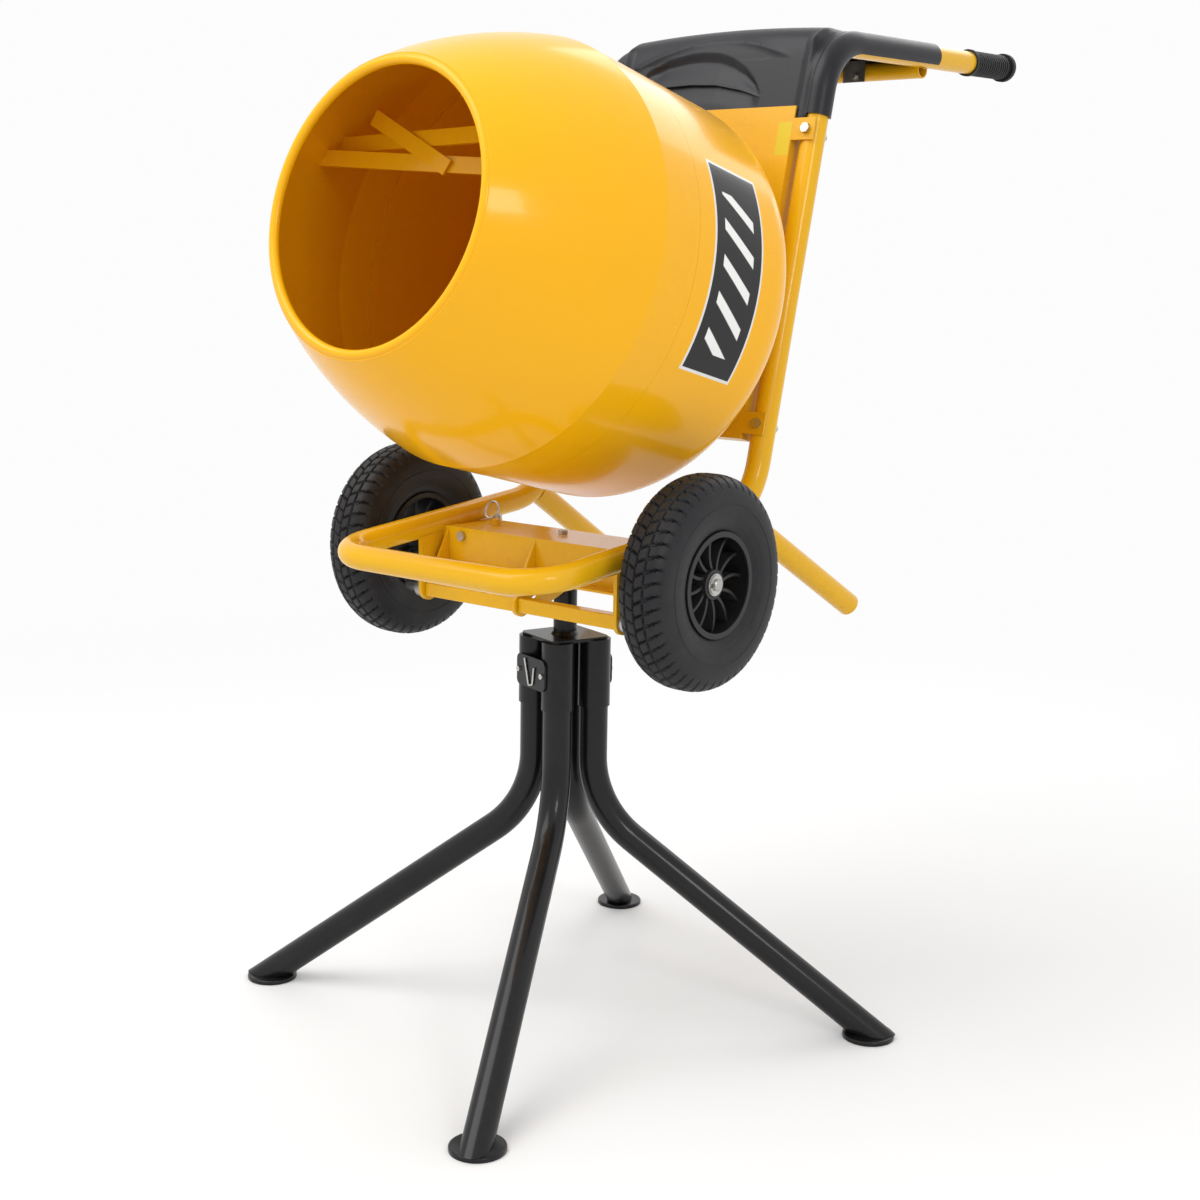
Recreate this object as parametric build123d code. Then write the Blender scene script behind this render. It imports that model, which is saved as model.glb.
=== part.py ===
from build123d import *
import os
from math import asin, atan2, cos, degrees, pi, radians, sin, sqrt, tan

os.makedirs("parts", exist_ok=True)

# All sizes are in millimetres. The stand's axis is the Z axis and the floor is Z = 0.
# -Y is the side of the drum's mouth, +Y the side of the handles, +X and -X the wheels.

# ---- general clearances ----
run_gap = 0.06           # radial clearance of a shaft that turns in a hole
seat_gap = 0.2           # gap between pieces that rest on or are welded to each other
press_gap = 0.02         # radial gap of a pressed or bolted piece
side_gap = 1.0           # end play beside a turning piece

# ---- stand ----
foot_circle = 460        # from the stand's axis to the middle of a foot
first_leg_angle = -61.8  # direction of the front leg in the floor plane, degrees from +X
leg_count = 4
leg_outer = 42
leg_wall = 2
leg_slope = 36.5         # angle of the lower leg from the floor
leg_bend = 150
foot_lift = 3            # height of a leg's centre line over its pad
pad_radius = 37.5
pad_height = 6
socket_circle = 44       # from the stand's axis to a leg socket
socket_wall = 2.2
socket_gap = 0.3
socket_length = 98
plate_side = 95
plate_thick = 5
plate_top = 572
plate_corner = 10
pin_outer = 34
pin_wall = 4
pin_top = 699.7
lock_plate_width = 76
lock_plate_height = 46
lock_plate_thick = 3
lock_pin_radius = 4
lock_pin_drop = 52       # below the stand's plate
clip_wire = 1.5
clip_length = 38

# ---- swivel head that turns on the stand's pin ----
swivel_outer = 44
swivel_bottom = 640
swivel_cap = 6
arm_thick = 6
arm_inner = 16           # from the middle to the inner face of an arm
pivot_y = -95            # the tilt axis
pivot_z = 627
rod_radius = 8
barrel_side = 20
arm_heights = (690, 648, 642)   # an arm's edges at the swivel socket, from the floor

# ---- frame tubes ----
frame_half = 194         # from the middle to the middle of a side tube
rod_reach = frame_half + 31
tube_outer = 35
tube_wall = 2.5
front_y = -277
front_z = 699
front_bend = 70
rail_slope = 6.085
lean = 13.5              # backward lean of the uprights and slope of the drum's axis
lower_corner = (177.6, 747.5)   # where the rail's line and the upright's line meet, y and z
lower_bend = 110
join_straight = 10       # straight length of a side tube before its lower bend
handle_corner_z = 1417
handle_slope = 1.39
handle_bend = 90
handle_end_y = 868
rear_leg_start = (150, 750)
rear_leg_end = (420, 587)
rear_leg_splay = 21      # how far the lower end stands outside the upper end
crossbar_outer = 28
crossbar_y = 605
crossbar_drop = 19       # below the handles' centre line

# ---- pressed cross member and pivot plates ----
channel_front = -68
channel_rear = 30
channel_top = 718
channel_thick = 3
channel_web = 56
channel_lip = 10
shelf_front = -98
gusset_places = (-172, -2, 168)
gusset_thick = 4
slot_span = (-104, -14)  # the long slot in the lower shelf
web_bolt_x = -141
web_bolt_drop = 12
pin_park = (-146, 12)    # x and y of the parked linch pin's hole
pin_radius = 4
stud_place = (-126, -11)
plate_x = frame_half - 10       # middle of a side plate
side_plate_thick = 6
lug_radius = 17
buffer_radius = 15
buffer_y = -7

# ---- wheels ----
wheel_y = -43
wheel_z = 686
wheel_x = frame_half + 80
wheel_radius = 145
tyre_width = 76
rim_radius = 70
rim_width = 64
flange_rise = 1.4
hub_radius = 20
hub_recess = 10          # the hub's outer end inside the rim's outer face
spoke_count = 12
spoke_thick = 4
axle_radius = 8
axle_reach = wheel_x + 30
washer_radius = 15
washer_thick = 2

# ---- drum ----
mouth_y = -374
mouth_z = 1163.5
mouth_radius = 190
cone_middle = (120, 257)  # distance from the mouth, radius
shoulder = (219, 291)
bowl_start = 470
bowl_depth = 130
back_radius = 80         # flat middle of the drum's back
drum_wall = 2.5
bead_radius = 6.5
bead_middle = 185
seam = 288
seam_lap = 12
seam_groove = 0.4
lap_gap = 0.3
shaft_radius = 15
back_disc_thick = 3
hub_flange_radius = 60
hub_flange_thick = 6
hub_bolt_circle = 44
paddle_width = 22
paddle_thick = 5
# ends of the mixing blades: x, distance behind the mouth, height over the drum's axis
lower_paddle = ((-215, 110, 97), (265, 235, 100))
upper_paddle = ((-215, 133, 122), (225, 175, 150))
cross_paddle = ((-165, 127.5, 157), (-35, 150.5, 92))

# ---- drive: distances along the drum's axis are from the mouth ----
bulkhead_thick = 3
bulkhead_half = frame_half - 24
bulkhead_low = -170
bulkhead_high = 315
bulkhead_flange = 31
flange_high = 294
bulkhead_hole = 34
ear_reach = frame_half + 13
ear_height = 32
ear_levels = (-146, 281)
bolt_radius = 4
gearbox_half_width = 70
gearbox_low = -70
gearbox_high = 110
gearbox_depth = 80.5
gearbox_wall = 5
gear_module = 2.5
gear_teeth = 48
pinion_teeth = 12
gear_start = 648
gear_width = 20
pressure_angle = 25
tooth_play = 0.2
layshaft_radius = 8.5
bearing_width = 12
big_pulley_radius = 60
small_pulley_radius = 20
pulley_a = 732
pulley_width = 18
belt_thick = 4
belt_gap = 0.3
motor_rise = 190
motor_radius = 52
motor_length = 92
motor_shaft_radius = 7
motor_core_radius = 28
cover_half = 105
cover_low = -90
cover_high = 275
cover_end = 785
cover_wall = 3
cover_round = 14
tab_levels = (-60, 230)

# ---- controls ----
switch_rise = 190
switch_half = (32, 44)
switch_depth = 16
button_radius = 12
button_travel = 3
button_height = 5
button_pitch = 36
inlet_rise = 110
inlet_radius = 22

# ---- hood and grips ----
hood_half = frame_half - 16
hood_wall = 3.5
hood_low = 1311
hood_rear = 626
hood_front = 300         # y of the hood's lower lip
hood_top = 1449
hood_fall = 7            # how far the hood's sides lie below its middle
hood_side_low = 1290     # lower end of the opening round each handle
hood_side_high = 1409
hood_skirt = 1395        # lower edge of the hood's rear and sides
hump_place = (95, 450)
bracket_span = (60, 100)
bracket_thick = 2.5
sleeve_wall = 3
grip_radius = 19.5
grip_length = 130


# ============================ helpers ============================

low = (Align.CENTER, Align.CENTER, Align.MIN)


def along_y(shape):
    """Turn a shape that was made along +Z so that it points along +Y."""
    return Rot(X=-90) * shape


def along_x(shape):
    """Turn a shape that was made along +Z so that it points along +X."""
    return Rot(Y=90) * shape


def in_drive(shape):
    """Place a shape given as x, distance behind the mouth, height over the drum's axis."""
    return Pos(0, mouth_y, mouth_z) * Rot(X=-lean) * shape


def disc(radius, start, length):
    """A round solid along Z from start."""
    return Pos(0, 0, start) * Cylinder(radius, length, align=low)


def ring(outer, inner, start, length):
    """A round solid with a round hole, along Z from start."""
    return disc(outer, start, length) - disc(inner, start - 1, length + 2)


def bent_tube(points, bend, outer, wall):
    """A round tube along straight runs joined by arcs; wall None makes a solid bar."""
    path = FilletPolyline(*points, radius=bend) if bend else Polyline(*points)
    start = Plane(origin=path @ 0, z_dir=path % 0)
    body = sweep(start * Circle(outer / 2), path=path)
    if wall is None:
        return body
    return body - sweep(start * Circle(outer / 2 - wall), path=path)


def plate_yz(points, x_start, thick):
    """A flat plate with an outline in Y and Z."""
    outline = make_face(Polyline(*[(0, y, z) for y, z in points], close=True))
    return Pos(x_start, 0, 0) * extrude(outline, amount=thick, dir=(1, 0, 0))


def box(x, y, z):
    """A box between two values on each axis."""
    size = Box(x[1] - x[0], y[1] - y[0], z[1] - z[0], align=(Align.MIN,) * 3)
    return Pos(x[0], y[0], z[0]) * size


def hex_bolt(radius, length, head):
    """A hexagon bolt along +Z; its head lies below Z = 0."""
    across = radius * 3.25
    blank = extrude(RegularPolygon(across / 2, 6, major_radius=False), amount=-head)
    return blank + disc(radius, 0, length)


def gear(teeth, start, width, first_tooth):
    """An involute spur gear along Z; first_tooth is the angle of one tooth."""
    pitch = gear_module * teeth / 2
    base = pitch * cos(radians(pressure_angle))
    tip = pitch + 0.8 * gear_module
    root = pitch - 1.05 * gear_module
    at_pitch = (pi * gear_module / 2 - tooth_play) / (2 * pitch)
    spread = tan(radians(pressure_angle)) - radians(pressure_angle)
    low_radius = max(base, root)
    flank = [(root, at_pitch + spread)] if root < base else []
    for step in range(4):
        radius = low_radius + (tip - low_radius) * step / 3
        angle = sqrt(max((radius / base) ** 2 - 1, 0))
        flank.append((radius, at_pitch + spread - (angle - atan2(angle, 1))))
    points = []
    for index in range(teeth):
        middle = first_tooth + index * 2 * pi / teeth
        points += [(radius * cos(middle - half), radius * sin(middle - half)) for radius, half in flank]
        points += [(radius * cos(middle + half), radius * sin(middle + half)) for radius, half in flank[::-1]]
    outline = make_face(Polyline(*points, close=True))
    return Pos(0, 0, start) * extrude(outline, amount=width)


def mirrored(shape):
    """The same shape on the other side of the middle plane."""
    return mirror(shape, about=Plane.YZ)


def both_sides(shape):
    """A pair of separate solids, one on each side of the middle plane."""
    return Compound(children=[shape, mirrored(shape)])


def together(*shapes):
    """Several separate solids in one node."""
    return Compound(children=[solid for shape in shapes for solid in shape.solids()])


# ============================ stand ============================

def leg_direction(index):
    """Angle of one leg in the floor plane."""
    return first_leg_angle + index * 360 / leg_count


def make_leg(index):
    """One bent leg, cut level at the foot, standing in its socket."""
    drop = (foot_circle - socket_circle) * tan(radians(leg_slope))
    knee_z = pad_height + foot_lift + drop
    top = plate_top - plate_thick - seat_gap
    overrun = leg_outer
    low_point = (foot_circle + overrun, 0, knee_z - drop - overrun * tan(radians(leg_slope)))
    path = [(socket_circle, 0, top), (socket_circle, 0, knee_z), low_point]
    tube = bent_tube(path, leg_bend, leg_outer, leg_wall)
    floor_block = box((0, 700), (-100, 100), (-200, pad_height + seat_gap))
    tube = Rot(Z=leg_direction(index)) * (tube - floor_block)
    return tube - lock_pins(0.1)


def foot_pads():
    """Four round pads, each with a low raised middle inside the leg."""
    pads = []
    for index in range(leg_count):
        pad = fillet(disc(pad_radius, 0, pad_height).edges().group_by(Axis.Z)[-1], 2)
        pads.append(Rot(Z=leg_direction(index)) * Pos(foot_circle, 0, 0) * pad)
    return Compound(children=pads)


def socket_outer():
    """Outer radius of a leg socket."""
    return leg_outer / 2 + socket_gap + socket_wall


def stand_head():
    """The square top plate with four sockets and the upright pin, welded into one."""
    blank = Pos(0, 0, plate_top - plate_thick) * extrude(
        RectangleRounded(plate_side, plate_side, plate_corner), amount=plate_thick)
    head = Rot(Z=first_leg_angle - 45) * blank
    bottom = plate_top - plate_thick - socket_length
    for index in range(leg_count):
        socket = Pos(socket_circle, 0, 0) * disc(socket_outer(), bottom, socket_length + 1)
        head += Rot(Z=leg_direction(index)) * socket
    for index in range(leg_count):
        bore = Pos(socket_circle, 0, 0) * disc(leg_outer / 2 + socket_gap, bottom - 1, socket_length + 1)
        head -= Rot(Z=leg_direction(index)) * bore
    head += disc(pin_outer / 2, plate_top - 1, pin_top - plate_top + 1)
    head += Pos(0, 0, plate_top) * Cone(pin_outer / 2 + 4, pin_outer / 2, 5, align=low)
    head -= disc(pin_outer / 2 - pin_wall, plate_top - plate_thick - 1, pin_top)
    return head - lock_pins(0.1)


def lock_face():
    """Distance of a lock plate's inner face from the stand's axis."""
    return socket_circle * cos(radians(45)) + socket_outer() + seat_gap


def lock_pins(extra):
    """Four cross pins, each through a socket and its leg; extra widens them into holes."""
    pins = []
    across = socket_circle * sin(radians(45))
    reach = lock_face() + lock_plate_thick + 3
    length = reach - socket_circle * cos(radians(45)) + leg_outer / 2 - leg_wall - 4
    for index in (0, 2):
        for side in (-1, 1):
            pin = along_x(disc(lock_pin_radius + extra, 0, length + extra))
            place = Pos(reach - length, side * across, plate_top - lock_pin_drop)
            pins.append(Rot(Z=lock_direction(index)) * place * pin)
    return Compound(children=pins)


def lock_direction(index):
    """Direction of the lock plate between a leg and the one before it."""
    return leg_direction(index) - 45


def lock_plates():
    """Two plates that lie across a pair of sockets and carry their cross pins."""
    plates = []
    for index in (0, 2):
        outline = Plane.YZ * RectangleRounded(lock_plate_width, lock_plate_height, 9)
        blank = extrude(outline, amount=lock_plate_thick)
        place = Pos(lock_face(), 0, plate_top - lock_pin_drop)
        plates.append(Rot(Z=lock_direction(index)) * place * blank)
    return Compound(children=plates) - lock_pins(press_gap)


def lock_clips():
    """Two spring clips, each a bent wire lying on its lock plate."""
    clips = []
    lift = lock_face() + lock_plate_thick + clip_wire + seat_gap
    half = clip_length / 2
    points = [(lift, -14, half), (lift, -2, -half), (lift, 8, -half + 3), (lift, 12, half - 10)]
    for index in (0, 2):
        wire = bent_tube(points, 2.4, 2 * clip_wire, None)
        clips.append(Rot(Z=lock_direction(index)) * Pos(0, 0, plate_top - lock_pin_drop) * wire)
    return Compound(children=clips)


# ============================ swivel head ============================

def swivel_tube():
    """The capped socket that turns on the stand's pin."""
    cap_start = pin_top + 0.3
    body = disc(swivel_outer / 2, swivel_bottom, cap_start + swivel_cap - swivel_bottom)
    body = fillet(body.edges().group_by(Axis.Z)[-1], 2)
    return body - disc(pin_outer / 2 + run_gap, swivel_bottom - 1, cap_start - swivel_bottom + 1)


def barrel_rear():
    """Y of the rear face of the hinge barrels."""
    return pivot_y + barrel_side / 2


def swivel_arm():
    """The right arm, welded to the socket and to a hinge barrel."""
    front = barrel_rear() + seat_gap
    high = pivot_z + barrel_side / 2
    top, low_rear, low_front = arm_heights
    outline = [(front, high - 18), (front, high), (-20, top), (12, top), (12, low_rear), (-20, low_front)]
    arm = plate_yz(outline, arm_inner, arm_thick) - disc(swivel_outer / 2 + seat_gap, 600, 200)
    return arm.solids().sort_by(Axis.Y)[0]


def hinge_barrel():
    """The right square bar that turns on the tilt rod."""
    start = side_plate_thick / 2 + side_gap
    end = plate_x - side_plate_thick / 2 - side_gap
    half = barrel_side / 2
    bar = box((start, end), (pivot_y - half, pivot_y + half), (pivot_z - half, pivot_z + half))
    bar = fillet(bar.edges().filter_by(Axis.X), 2)
    return bar - Pos(0, pivot_y, pivot_z) * along_x(disc(rod_radius + run_gap, 0, 300))


# ============================ frame ============================

def rail_height(y):
    """Height of a rail's centre line."""
    return front_z + (y - front_y) * tan(radians(rail_slope))


def rail_join():
    """Y where the front loop meets a side tube, just before the lower bend."""
    turn = 90 - lean - rail_slope
    reach = lower_bend * tan(radians(turn / 2)) + join_straight
    return lower_corner[0] - reach * cos(radians(rail_slope))


def upright_y(z):
    """Y of an upright's centre line at a height."""
    return lower_corner[0] + (z - lower_corner[1]) * tan(radians(lean))


def handle_height(y):
    """Height of a handle's centre line."""
    return handle_corner_z + (y - upright_y(handle_corner_z)) * tan(radians(handle_slope))


def front_loop(wall=tube_wall):
    """The tube that runs round the front, level with both wheels."""
    back = rail_join()
    points = [(-frame_half, back, rail_height(back)), (-frame_half, front_y, front_z),
              (frame_half, front_y, front_z), (frame_half, back, rail_height(back))]
    return bent_tube(points, front_bend, tube_outer, wall)


def side_path():
    """Centre line of the right side tube, from the rail to the end of the handle."""
    back = rail_join() + press_gap
    corner_y = upright_y(handle_corner_z)
    points = [(frame_half, back, rail_height(back)), (frame_half, *lower_corner),
              (frame_half, corner_y, handle_corner_z), (frame_half, handle_end_y, handle_height(handle_end_y))]
    return FilletPolyline(*points, radius=[lower_bend, handle_bend])


def side_solid(radius):
    """A full round solid along the right side tube's centre line."""
    path = side_path()
    return sweep(Plane(origin=path @ 0, z_dir=path % 0) * Circle(radius), path=path)


def side_tube():
    """The right side tube: lower bend, upright, upper bend and handle."""
    body = side_solid(tube_outer / 2) - side_solid(tube_outer / 2 - tube_wall)
    return body - housing_bolts(0.1)


def rear_leg():
    """The right rear leg, saddled onto the side tube's lower bend."""
    points = [(frame_half, *rear_leg_start), (frame_half + rear_leg_splay, *rear_leg_end)]
    leg = bent_tube(points, None, tube_outer, tube_wall)
    leg -= side_solid(tube_outer / 2 + seat_gap)
    return leg.solids().sort_by(Axis.Y)[-1]


def crossbar_z():
    """Height of the handle crossbar's centre line."""
    return handle_height(crossbar_y) - crossbar_drop


def handle_crossbar():
    """The tube that ties both handles together under the back of the hood."""
    bar = ring(crossbar_outer / 2, crossbar_outer / 2 - 2, -frame_half, 2 * frame_half)
    bar = Pos(0, crossbar_y, crossbar_z()) * along_x(bar)
    handle = side_solid(tube_outer / 2 + seat_gap)
    bar = bar - handle - mirrored(handle)
    return bar.solids().sort_by(SortBy.VOLUME)[-1]


def rail_solid(extra):
    """A full round solid along the front loop's centre line."""
    back = rail_join()
    points = [(-frame_half, back, rail_height(back)), (-frame_half, front_y, front_z),
              (frame_half, front_y, front_z), (frame_half, back, rail_height(back))]
    return bent_tube(points, front_bend, tube_outer + 2 * extra, None)


def cross_channel():
    """The folded cross member that rests on the swivel head."""
    inner = plate_x - side_plate_thick / 2 - seat_gap
    t = channel_thick
    low_z = channel_top - channel_web
    web = box((-inner, inner), (channel_front, channel_front + t), (low_z, channel_top))
    top = box((-inner, inner), (channel_front, channel_rear), (channel_top - t, channel_top))
    lip = box((-inner, inner), (channel_rear - t, channel_rear), (channel_top - channel_lip, channel_top))
    shelf = box((-inner, inner), (shelf_front, channel_front + t), (low_z, low_z + t))
    slot = box(slot_span, (channel_front - 14, channel_front - 5), (low_z - 5, low_z + 10))
    body = web + top + lip + shelf - slot - rail_solid(seat_gap)
    body -= Pos(web_bolt_x, 0, channel_top - web_bolt_drop) * along_y(disc(bolt_radius + press_gap, -100, 60))
    body -= Pos(0, buffer_y, 0) * disc(bolt_radius + press_gap, channel_top - 20, 40)
    body -= Pos(pin_park[0], pin_park[1], 0) * disc(pin_radius + run_gap, channel_top - 20, 40)
    return body.solids().sort_by(SortBy.VOLUME)[-1]


def web_gussets():
    """Three triangular stiffeners in the front corner of the cross member."""
    gussets = []
    low_z = channel_top - channel_web + channel_thick + seat_gap
    front = channel_front - seat_gap
    for x in gusset_places:
        outline = [(front, low_z), (front, channel_top - 4), (shelf_front + 3, low_z)]
        gussets.append(plate_yz(outline, x, gusset_thick))
    return Compound(children=gussets)


def channel_stud():
    """A small welded stud on top of the cross member."""
    return Pos(*stud_place, 0) * disc(7, channel_top + seat_gap, 9)


def linch_pin():
    """The linch pin that is parked in the cross member, with its spring ring."""
    x, y = pin_park
    pin = Pos(x, y, 0) * (disc(pin_radius, channel_top - 28, 40) + disc(6.5, channel_top + seat_gap, 10))
    loop = Pos(x - 12, y, channel_top + 17) * Rot(X=70) * Torus(13, 1.6)
    return pin + loop


def buffer():
    """The rubber buffer under the cross member that rests on the swivel head's cap."""
    start = pin_top + 0.3 + swivel_cap + 0.3
    body = disc(buffer_radius, start, channel_top - channel_thick - seat_gap - start)
    body -= disc(bolt_radius + press_gap, channel_top - channel_thick - 6, 20)
    return Pos(0, buffer_y, 0) * body


def frame_bolts():
    """The buffer's bolt and the bolt through the cross member's web."""
    upper = Pos(0, buffer_y, channel_top + seat_gap) * Rot(X=180) * hex_bolt(bolt_radius, 8.5, 5.5)
    place = Pos(web_bolt_x, channel_front - seat_gap, channel_top - web_bolt_drop)
    front = place * along_y(hex_bolt(bolt_radius, 14, 5.5))
    return Compound(children=[upper, front])


def lug(radius, x_start, thick):
    """The round lower end of a pivot plate."""
    return Pos(x_start, pivot_y, pivot_z) * along_x(disc(radius, 0, thick))


def rod_hole():
    """Hole for the tilt rod, right across the frame."""
    return Pos(0, pivot_y, pivot_z) * along_x(disc(rod_radius + press_gap, -300, 600))


def side_plate():
    """The right side plate: hangs from the rail and carries the wheel's axle and the tilt rod."""
    start = plate_x - side_plate_thick / 2
    front = pivot_y - lug_radius
    outline = [(front, pivot_z), (front, rail_height(-110)), (-16, rail_height(-16)),
               (-16, wheel_z - 14), (pivot_y + lug_radius, pivot_z)]
    body = plate_yz(outline, start, side_plate_thick) + lug(lug_radius, start, side_plate_thick)
    body -= rod_hole()
    body -= Pos(0, wheel_y, wheel_z) * along_x(disc(axle_radius + press_gap, 100, 200))
    body -= rail_solid(seat_gap)
    return body.solids().sort_by(Axis.Z)[0]


def middle_lug():
    """The middle pivot plate under the cross member's front edge."""
    half = side_plate_thick / 2
    high = channel_top - channel_web - seat_gap
    outline = [(shelf_front + 2, high), (channel_front, high), (pivot_y + lug_radius, pivot_z),
               (pivot_y - lug_radius, pivot_z)]
    body = plate_yz(outline, -half, side_plate_thick) + lug(lug_radius, -half, side_plate_thick)
    return body - rod_hole()


def tilt_rod():
    """The rod that the whole mixer tips on."""
    return Pos(-rod_reach, pivot_y, pivot_z) * along_x(disc(rod_radius, 0, 2 * rod_reach))


def rod_collar():
    """The right collar that keeps the tilt rod in its plates."""
    start = plate_x + side_plate_thick / 2 + seat_gap
    collar = ring(14, rod_radius + press_gap, start, 12)
    return Pos(0, pivot_y, pivot_z) * along_x(collar)


def hub_span():
    """Inner and outer end of the right wheel's hub along X."""
    return wheel_x - rim_width / 2 - 4, wheel_x + rim_width / 2 - hub_recess


def clip_place():
    """Start of the right axle clip along X."""
    return hub_span()[1] + 2 * seat_gap + washer_thick


def wheel_axle():
    """The axle, right across the mixer, with a groove near each end."""
    axle = disc(axle_radius, -axle_reach, 2 * axle_reach)
    axle = chamfer(axle.edges().group_by(Axis.Z)[-1] + axle.edges().group_by(Axis.Z)[0], 1)
    for start in (clip_place() - 0.1, -clip_place() - 1.5 - 0.1):
        axle -= ring(axle_radius + 1, axle_radius - 1.5, start, 1.7)
    return Pos(0, wheel_y, wheel_z) * along_x(axle)


def axle_spacer():
    """The tube between the right side plate and the right wheel's hub."""
    start = plate_x + side_plate_thick / 2 + seat_gap
    spacer = ring(12, axle_radius + press_gap, start, hub_span()[0] - side_gap - start)
    return Pos(0, wheel_y, wheel_z) * along_x(spacer)


def axle_washer():
    """The washer outside the right wheel."""
    washer = ring(washer_radius, axle_radius + run_gap, hub_span()[1] + seat_gap, washer_thick)
    return Pos(0, wheel_y, wheel_z) * along_x(washer)


def axle_clip():
    """The open clip in the right axle's groove."""
    clip = ring(axle_radius + 5, axle_radius - 1.4, clip_place(), 1.5)
    clip -= Pos(0, -20, clip_place()) * Box(5, 40, 4)
    return Pos(0, wheel_y, wheel_z) * along_x(clip)


def grip():
    """The right handle's rubber grip, ribbed and closed at its end."""
    path = side_path()
    place = Pos(*(path @ 1)) * Rot(X=handle_slope)
    start = 5 - grip_length
    body = disc(grip_radius - 1, start, grip_length)
    for index in range(14):
        body += disc(grip_radius, start + 12 + index * 7, 4)
    end = disc(grip_radius + 3, -8, 13)
    body += fillet(end.edges().group_by(Axis.Z)[-1], 5)
    body += disc(grip_radius + 1.5, start, 7)
    body -= disc(tube_outer / 2 + press_gap, start - 1, grip_length - 5 + seat_gap + 1)
    return place * along_y(body)


# ============================ wheels ============================

def tyre():
    """The right tyre, with grooves round its tread."""
    half = tyre_width / 2
    low_r = rim_radius + flange_rise + seat_gap
    outline = [(low_r, -half + 9), (low_r + 22, -half), (wheel_radius - 22, -half + 3),
               (wheel_radius - 4, -half + 14), (wheel_radius, -half + 26)]
    points = [(radius, 0, across) for radius, across in outline]
    points += [(radius, 0, -across) for radius, across in outline[::-1]]
    body = revolve(make_face(Polyline(*points, close=True)), axis=Axis.Z)
    for across in (-13, 13):
        body -= ring(wheel_radius + 2, wheel_radius - 3.5, across - 2, 4)
    return Pos(wheel_x, wheel_y, wheel_z) * along_x(body)


def spoke(high):
    """One curved vane between the hub and the rim."""
    inner = hub_radius - 1
    outer = rim_radius - 4
    middle = (inner + outer) / 2
    path = ThreePointArc((inner, 0), (middle, 7), (outer, 3))
    return Pos(0, 0, -high / 2) * extrude(make_face(offset(path, spoke_thick / 2)), amount=high)


def wheel_hub():
    """The right wheel's centre: flanged rim, curved vanes and a long hub on the axle."""
    half = rim_width / 2
    band = ring(rim_radius, rim_radius - 5, -half, rim_width)
    for start in (-half, half - 3):
        band += ring(rim_radius + flange_rise, rim_radius - 6, start, 3)
    inner_end = hub_span()[0] - wheel_x
    outer_end = hub_span()[1] - wheel_x
    body = band + disc(hub_radius, inner_end, outer_end - inner_end)
    for index in range(spoke_count):
        body += Rot(Z=index * 360 / spoke_count) * spoke(36)
    body -= disc(axle_radius + run_gap, inner_end - 1, outer_end - inner_end + 2)
    return Pos(wheel_x, wheel_y, wheel_z) * along_x(body)


# ============================ drum ============================

def drum_body(inset):
    """The drum as a full solid along Z from the mouth, inset from its outside."""
    front = [(mouth_radius - inset, 0, 0), (cone_middle[1] - inset, 0, cone_middle[0]),
             (shoulder[1] - inset, 0, shoulder[0])]
    across = shoulder[1] - inset
    depth = bowl_depth - inset
    arc = []
    turns = 14
    last = asin(1) - asin(back_radius / across)
    for step in range(turns + 1):
        angle = last * step / turns
        arc.append((across * cos(angle), 0, bowl_start + depth * sin(angle)))
    end = (-across * sin(last), 0, depth * cos(last))
    outline = ThreePointArc(*front) + Line(front[2], arc[0]) + Spline(*arc, tangents=[(0, 0, 1), end])
    back = arc[-1][2]
    outline += Polyline(arc[-1], (0, 0, back), (0, 0, 0), front[0])
    return revolve(make_face(outline), axis=Axis.Z)


def drum_back():
    """Distance of the drum's flat back from the mouth."""
    return bowl_start + bowl_depth * cos(asin(back_radius / shoulder[1]))


def drum_front():
    """The front half of the drum, with its rolled mouth."""
    shell = (drum_body(0) - drum_body(drum_wall)) & disc(400, 4, seam - 4)
    bead = Pos(bead_middle, 0, bead_radius) * Rot(X=90) * Circle(bead_radius)
    return in_drive(along_y(shell + revolve(bead, axis=Axis.Z)))


def drum_rear():
    """The rear half of the drum, lapped inside the front half."""
    shell = (drum_body(0) - drum_body(drum_wall)) & disc(400, seam + seam_groove, 400)
    lap_outer = shoulder[1] - drum_wall - lap_gap
    shell += ring(lap_outer, lap_outer - drum_wall, seam - seam_lap, seam_lap + 4)
    shell += ring(lap_outer + lap_gap + 1, lap_outer - drum_wall, seam + seam_groove, 4)
    shell -= disc(shaft_radius + press_gap, bowl_start, 400)
    return in_drive(along_y(shell - hub_bolt_holes()))


def hub_bolt_places():
    """Six places on the drum's hub flange."""
    return [(hub_bolt_circle * cos(radians(60 * i)), hub_bolt_circle * sin(radians(60 * i))) for i in range(6)]


def hub_bolt_holes():
    """Holes for the hub's bolts, along Z."""
    holes = [Pos(x, y, 0) * disc(bolt_radius + press_gap, bowl_start, 300) for x, y in hub_bolt_places()]
    return Compound(children=holes)


def back_disc():
    """The stiffening disc on the drum's back."""
    body = ring(back_radius, shaft_radius + press_gap, drum_back() + seat_gap, back_disc_thick)
    return in_drive(along_y(body - hub_bolt_holes()))


def drum_shaft():
    """The drum's shaft with its welded flange."""
    start = drum_back() + back_disc_thick + 2 * seat_gap
    body = disc(hub_flange_radius, start, hub_flange_thick) - hub_bolt_holes()
    end = gearbox_start() + gearbox_depth - gearbox_wall - 1
    body += disc(shaft_radius, drum_back() - 20, end - drum_back() + 20)
    return in_drive(along_y(body))


def hub_bolts():
    """Six bolts that hold the drum to its shaft's flange, with heads inside the drum."""
    start = drum_back() - drum_wall - seat_gap
    length = drum_wall + back_disc_thick + hub_flange_thick + 3 * seat_gap
    bolt = hex_bolt(bolt_radius, length, 5)
    return Compound(children=[in_drive(along_y(Pos(x, y, start) * bolt)) for x, y in hub_bolt_places()])


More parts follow.
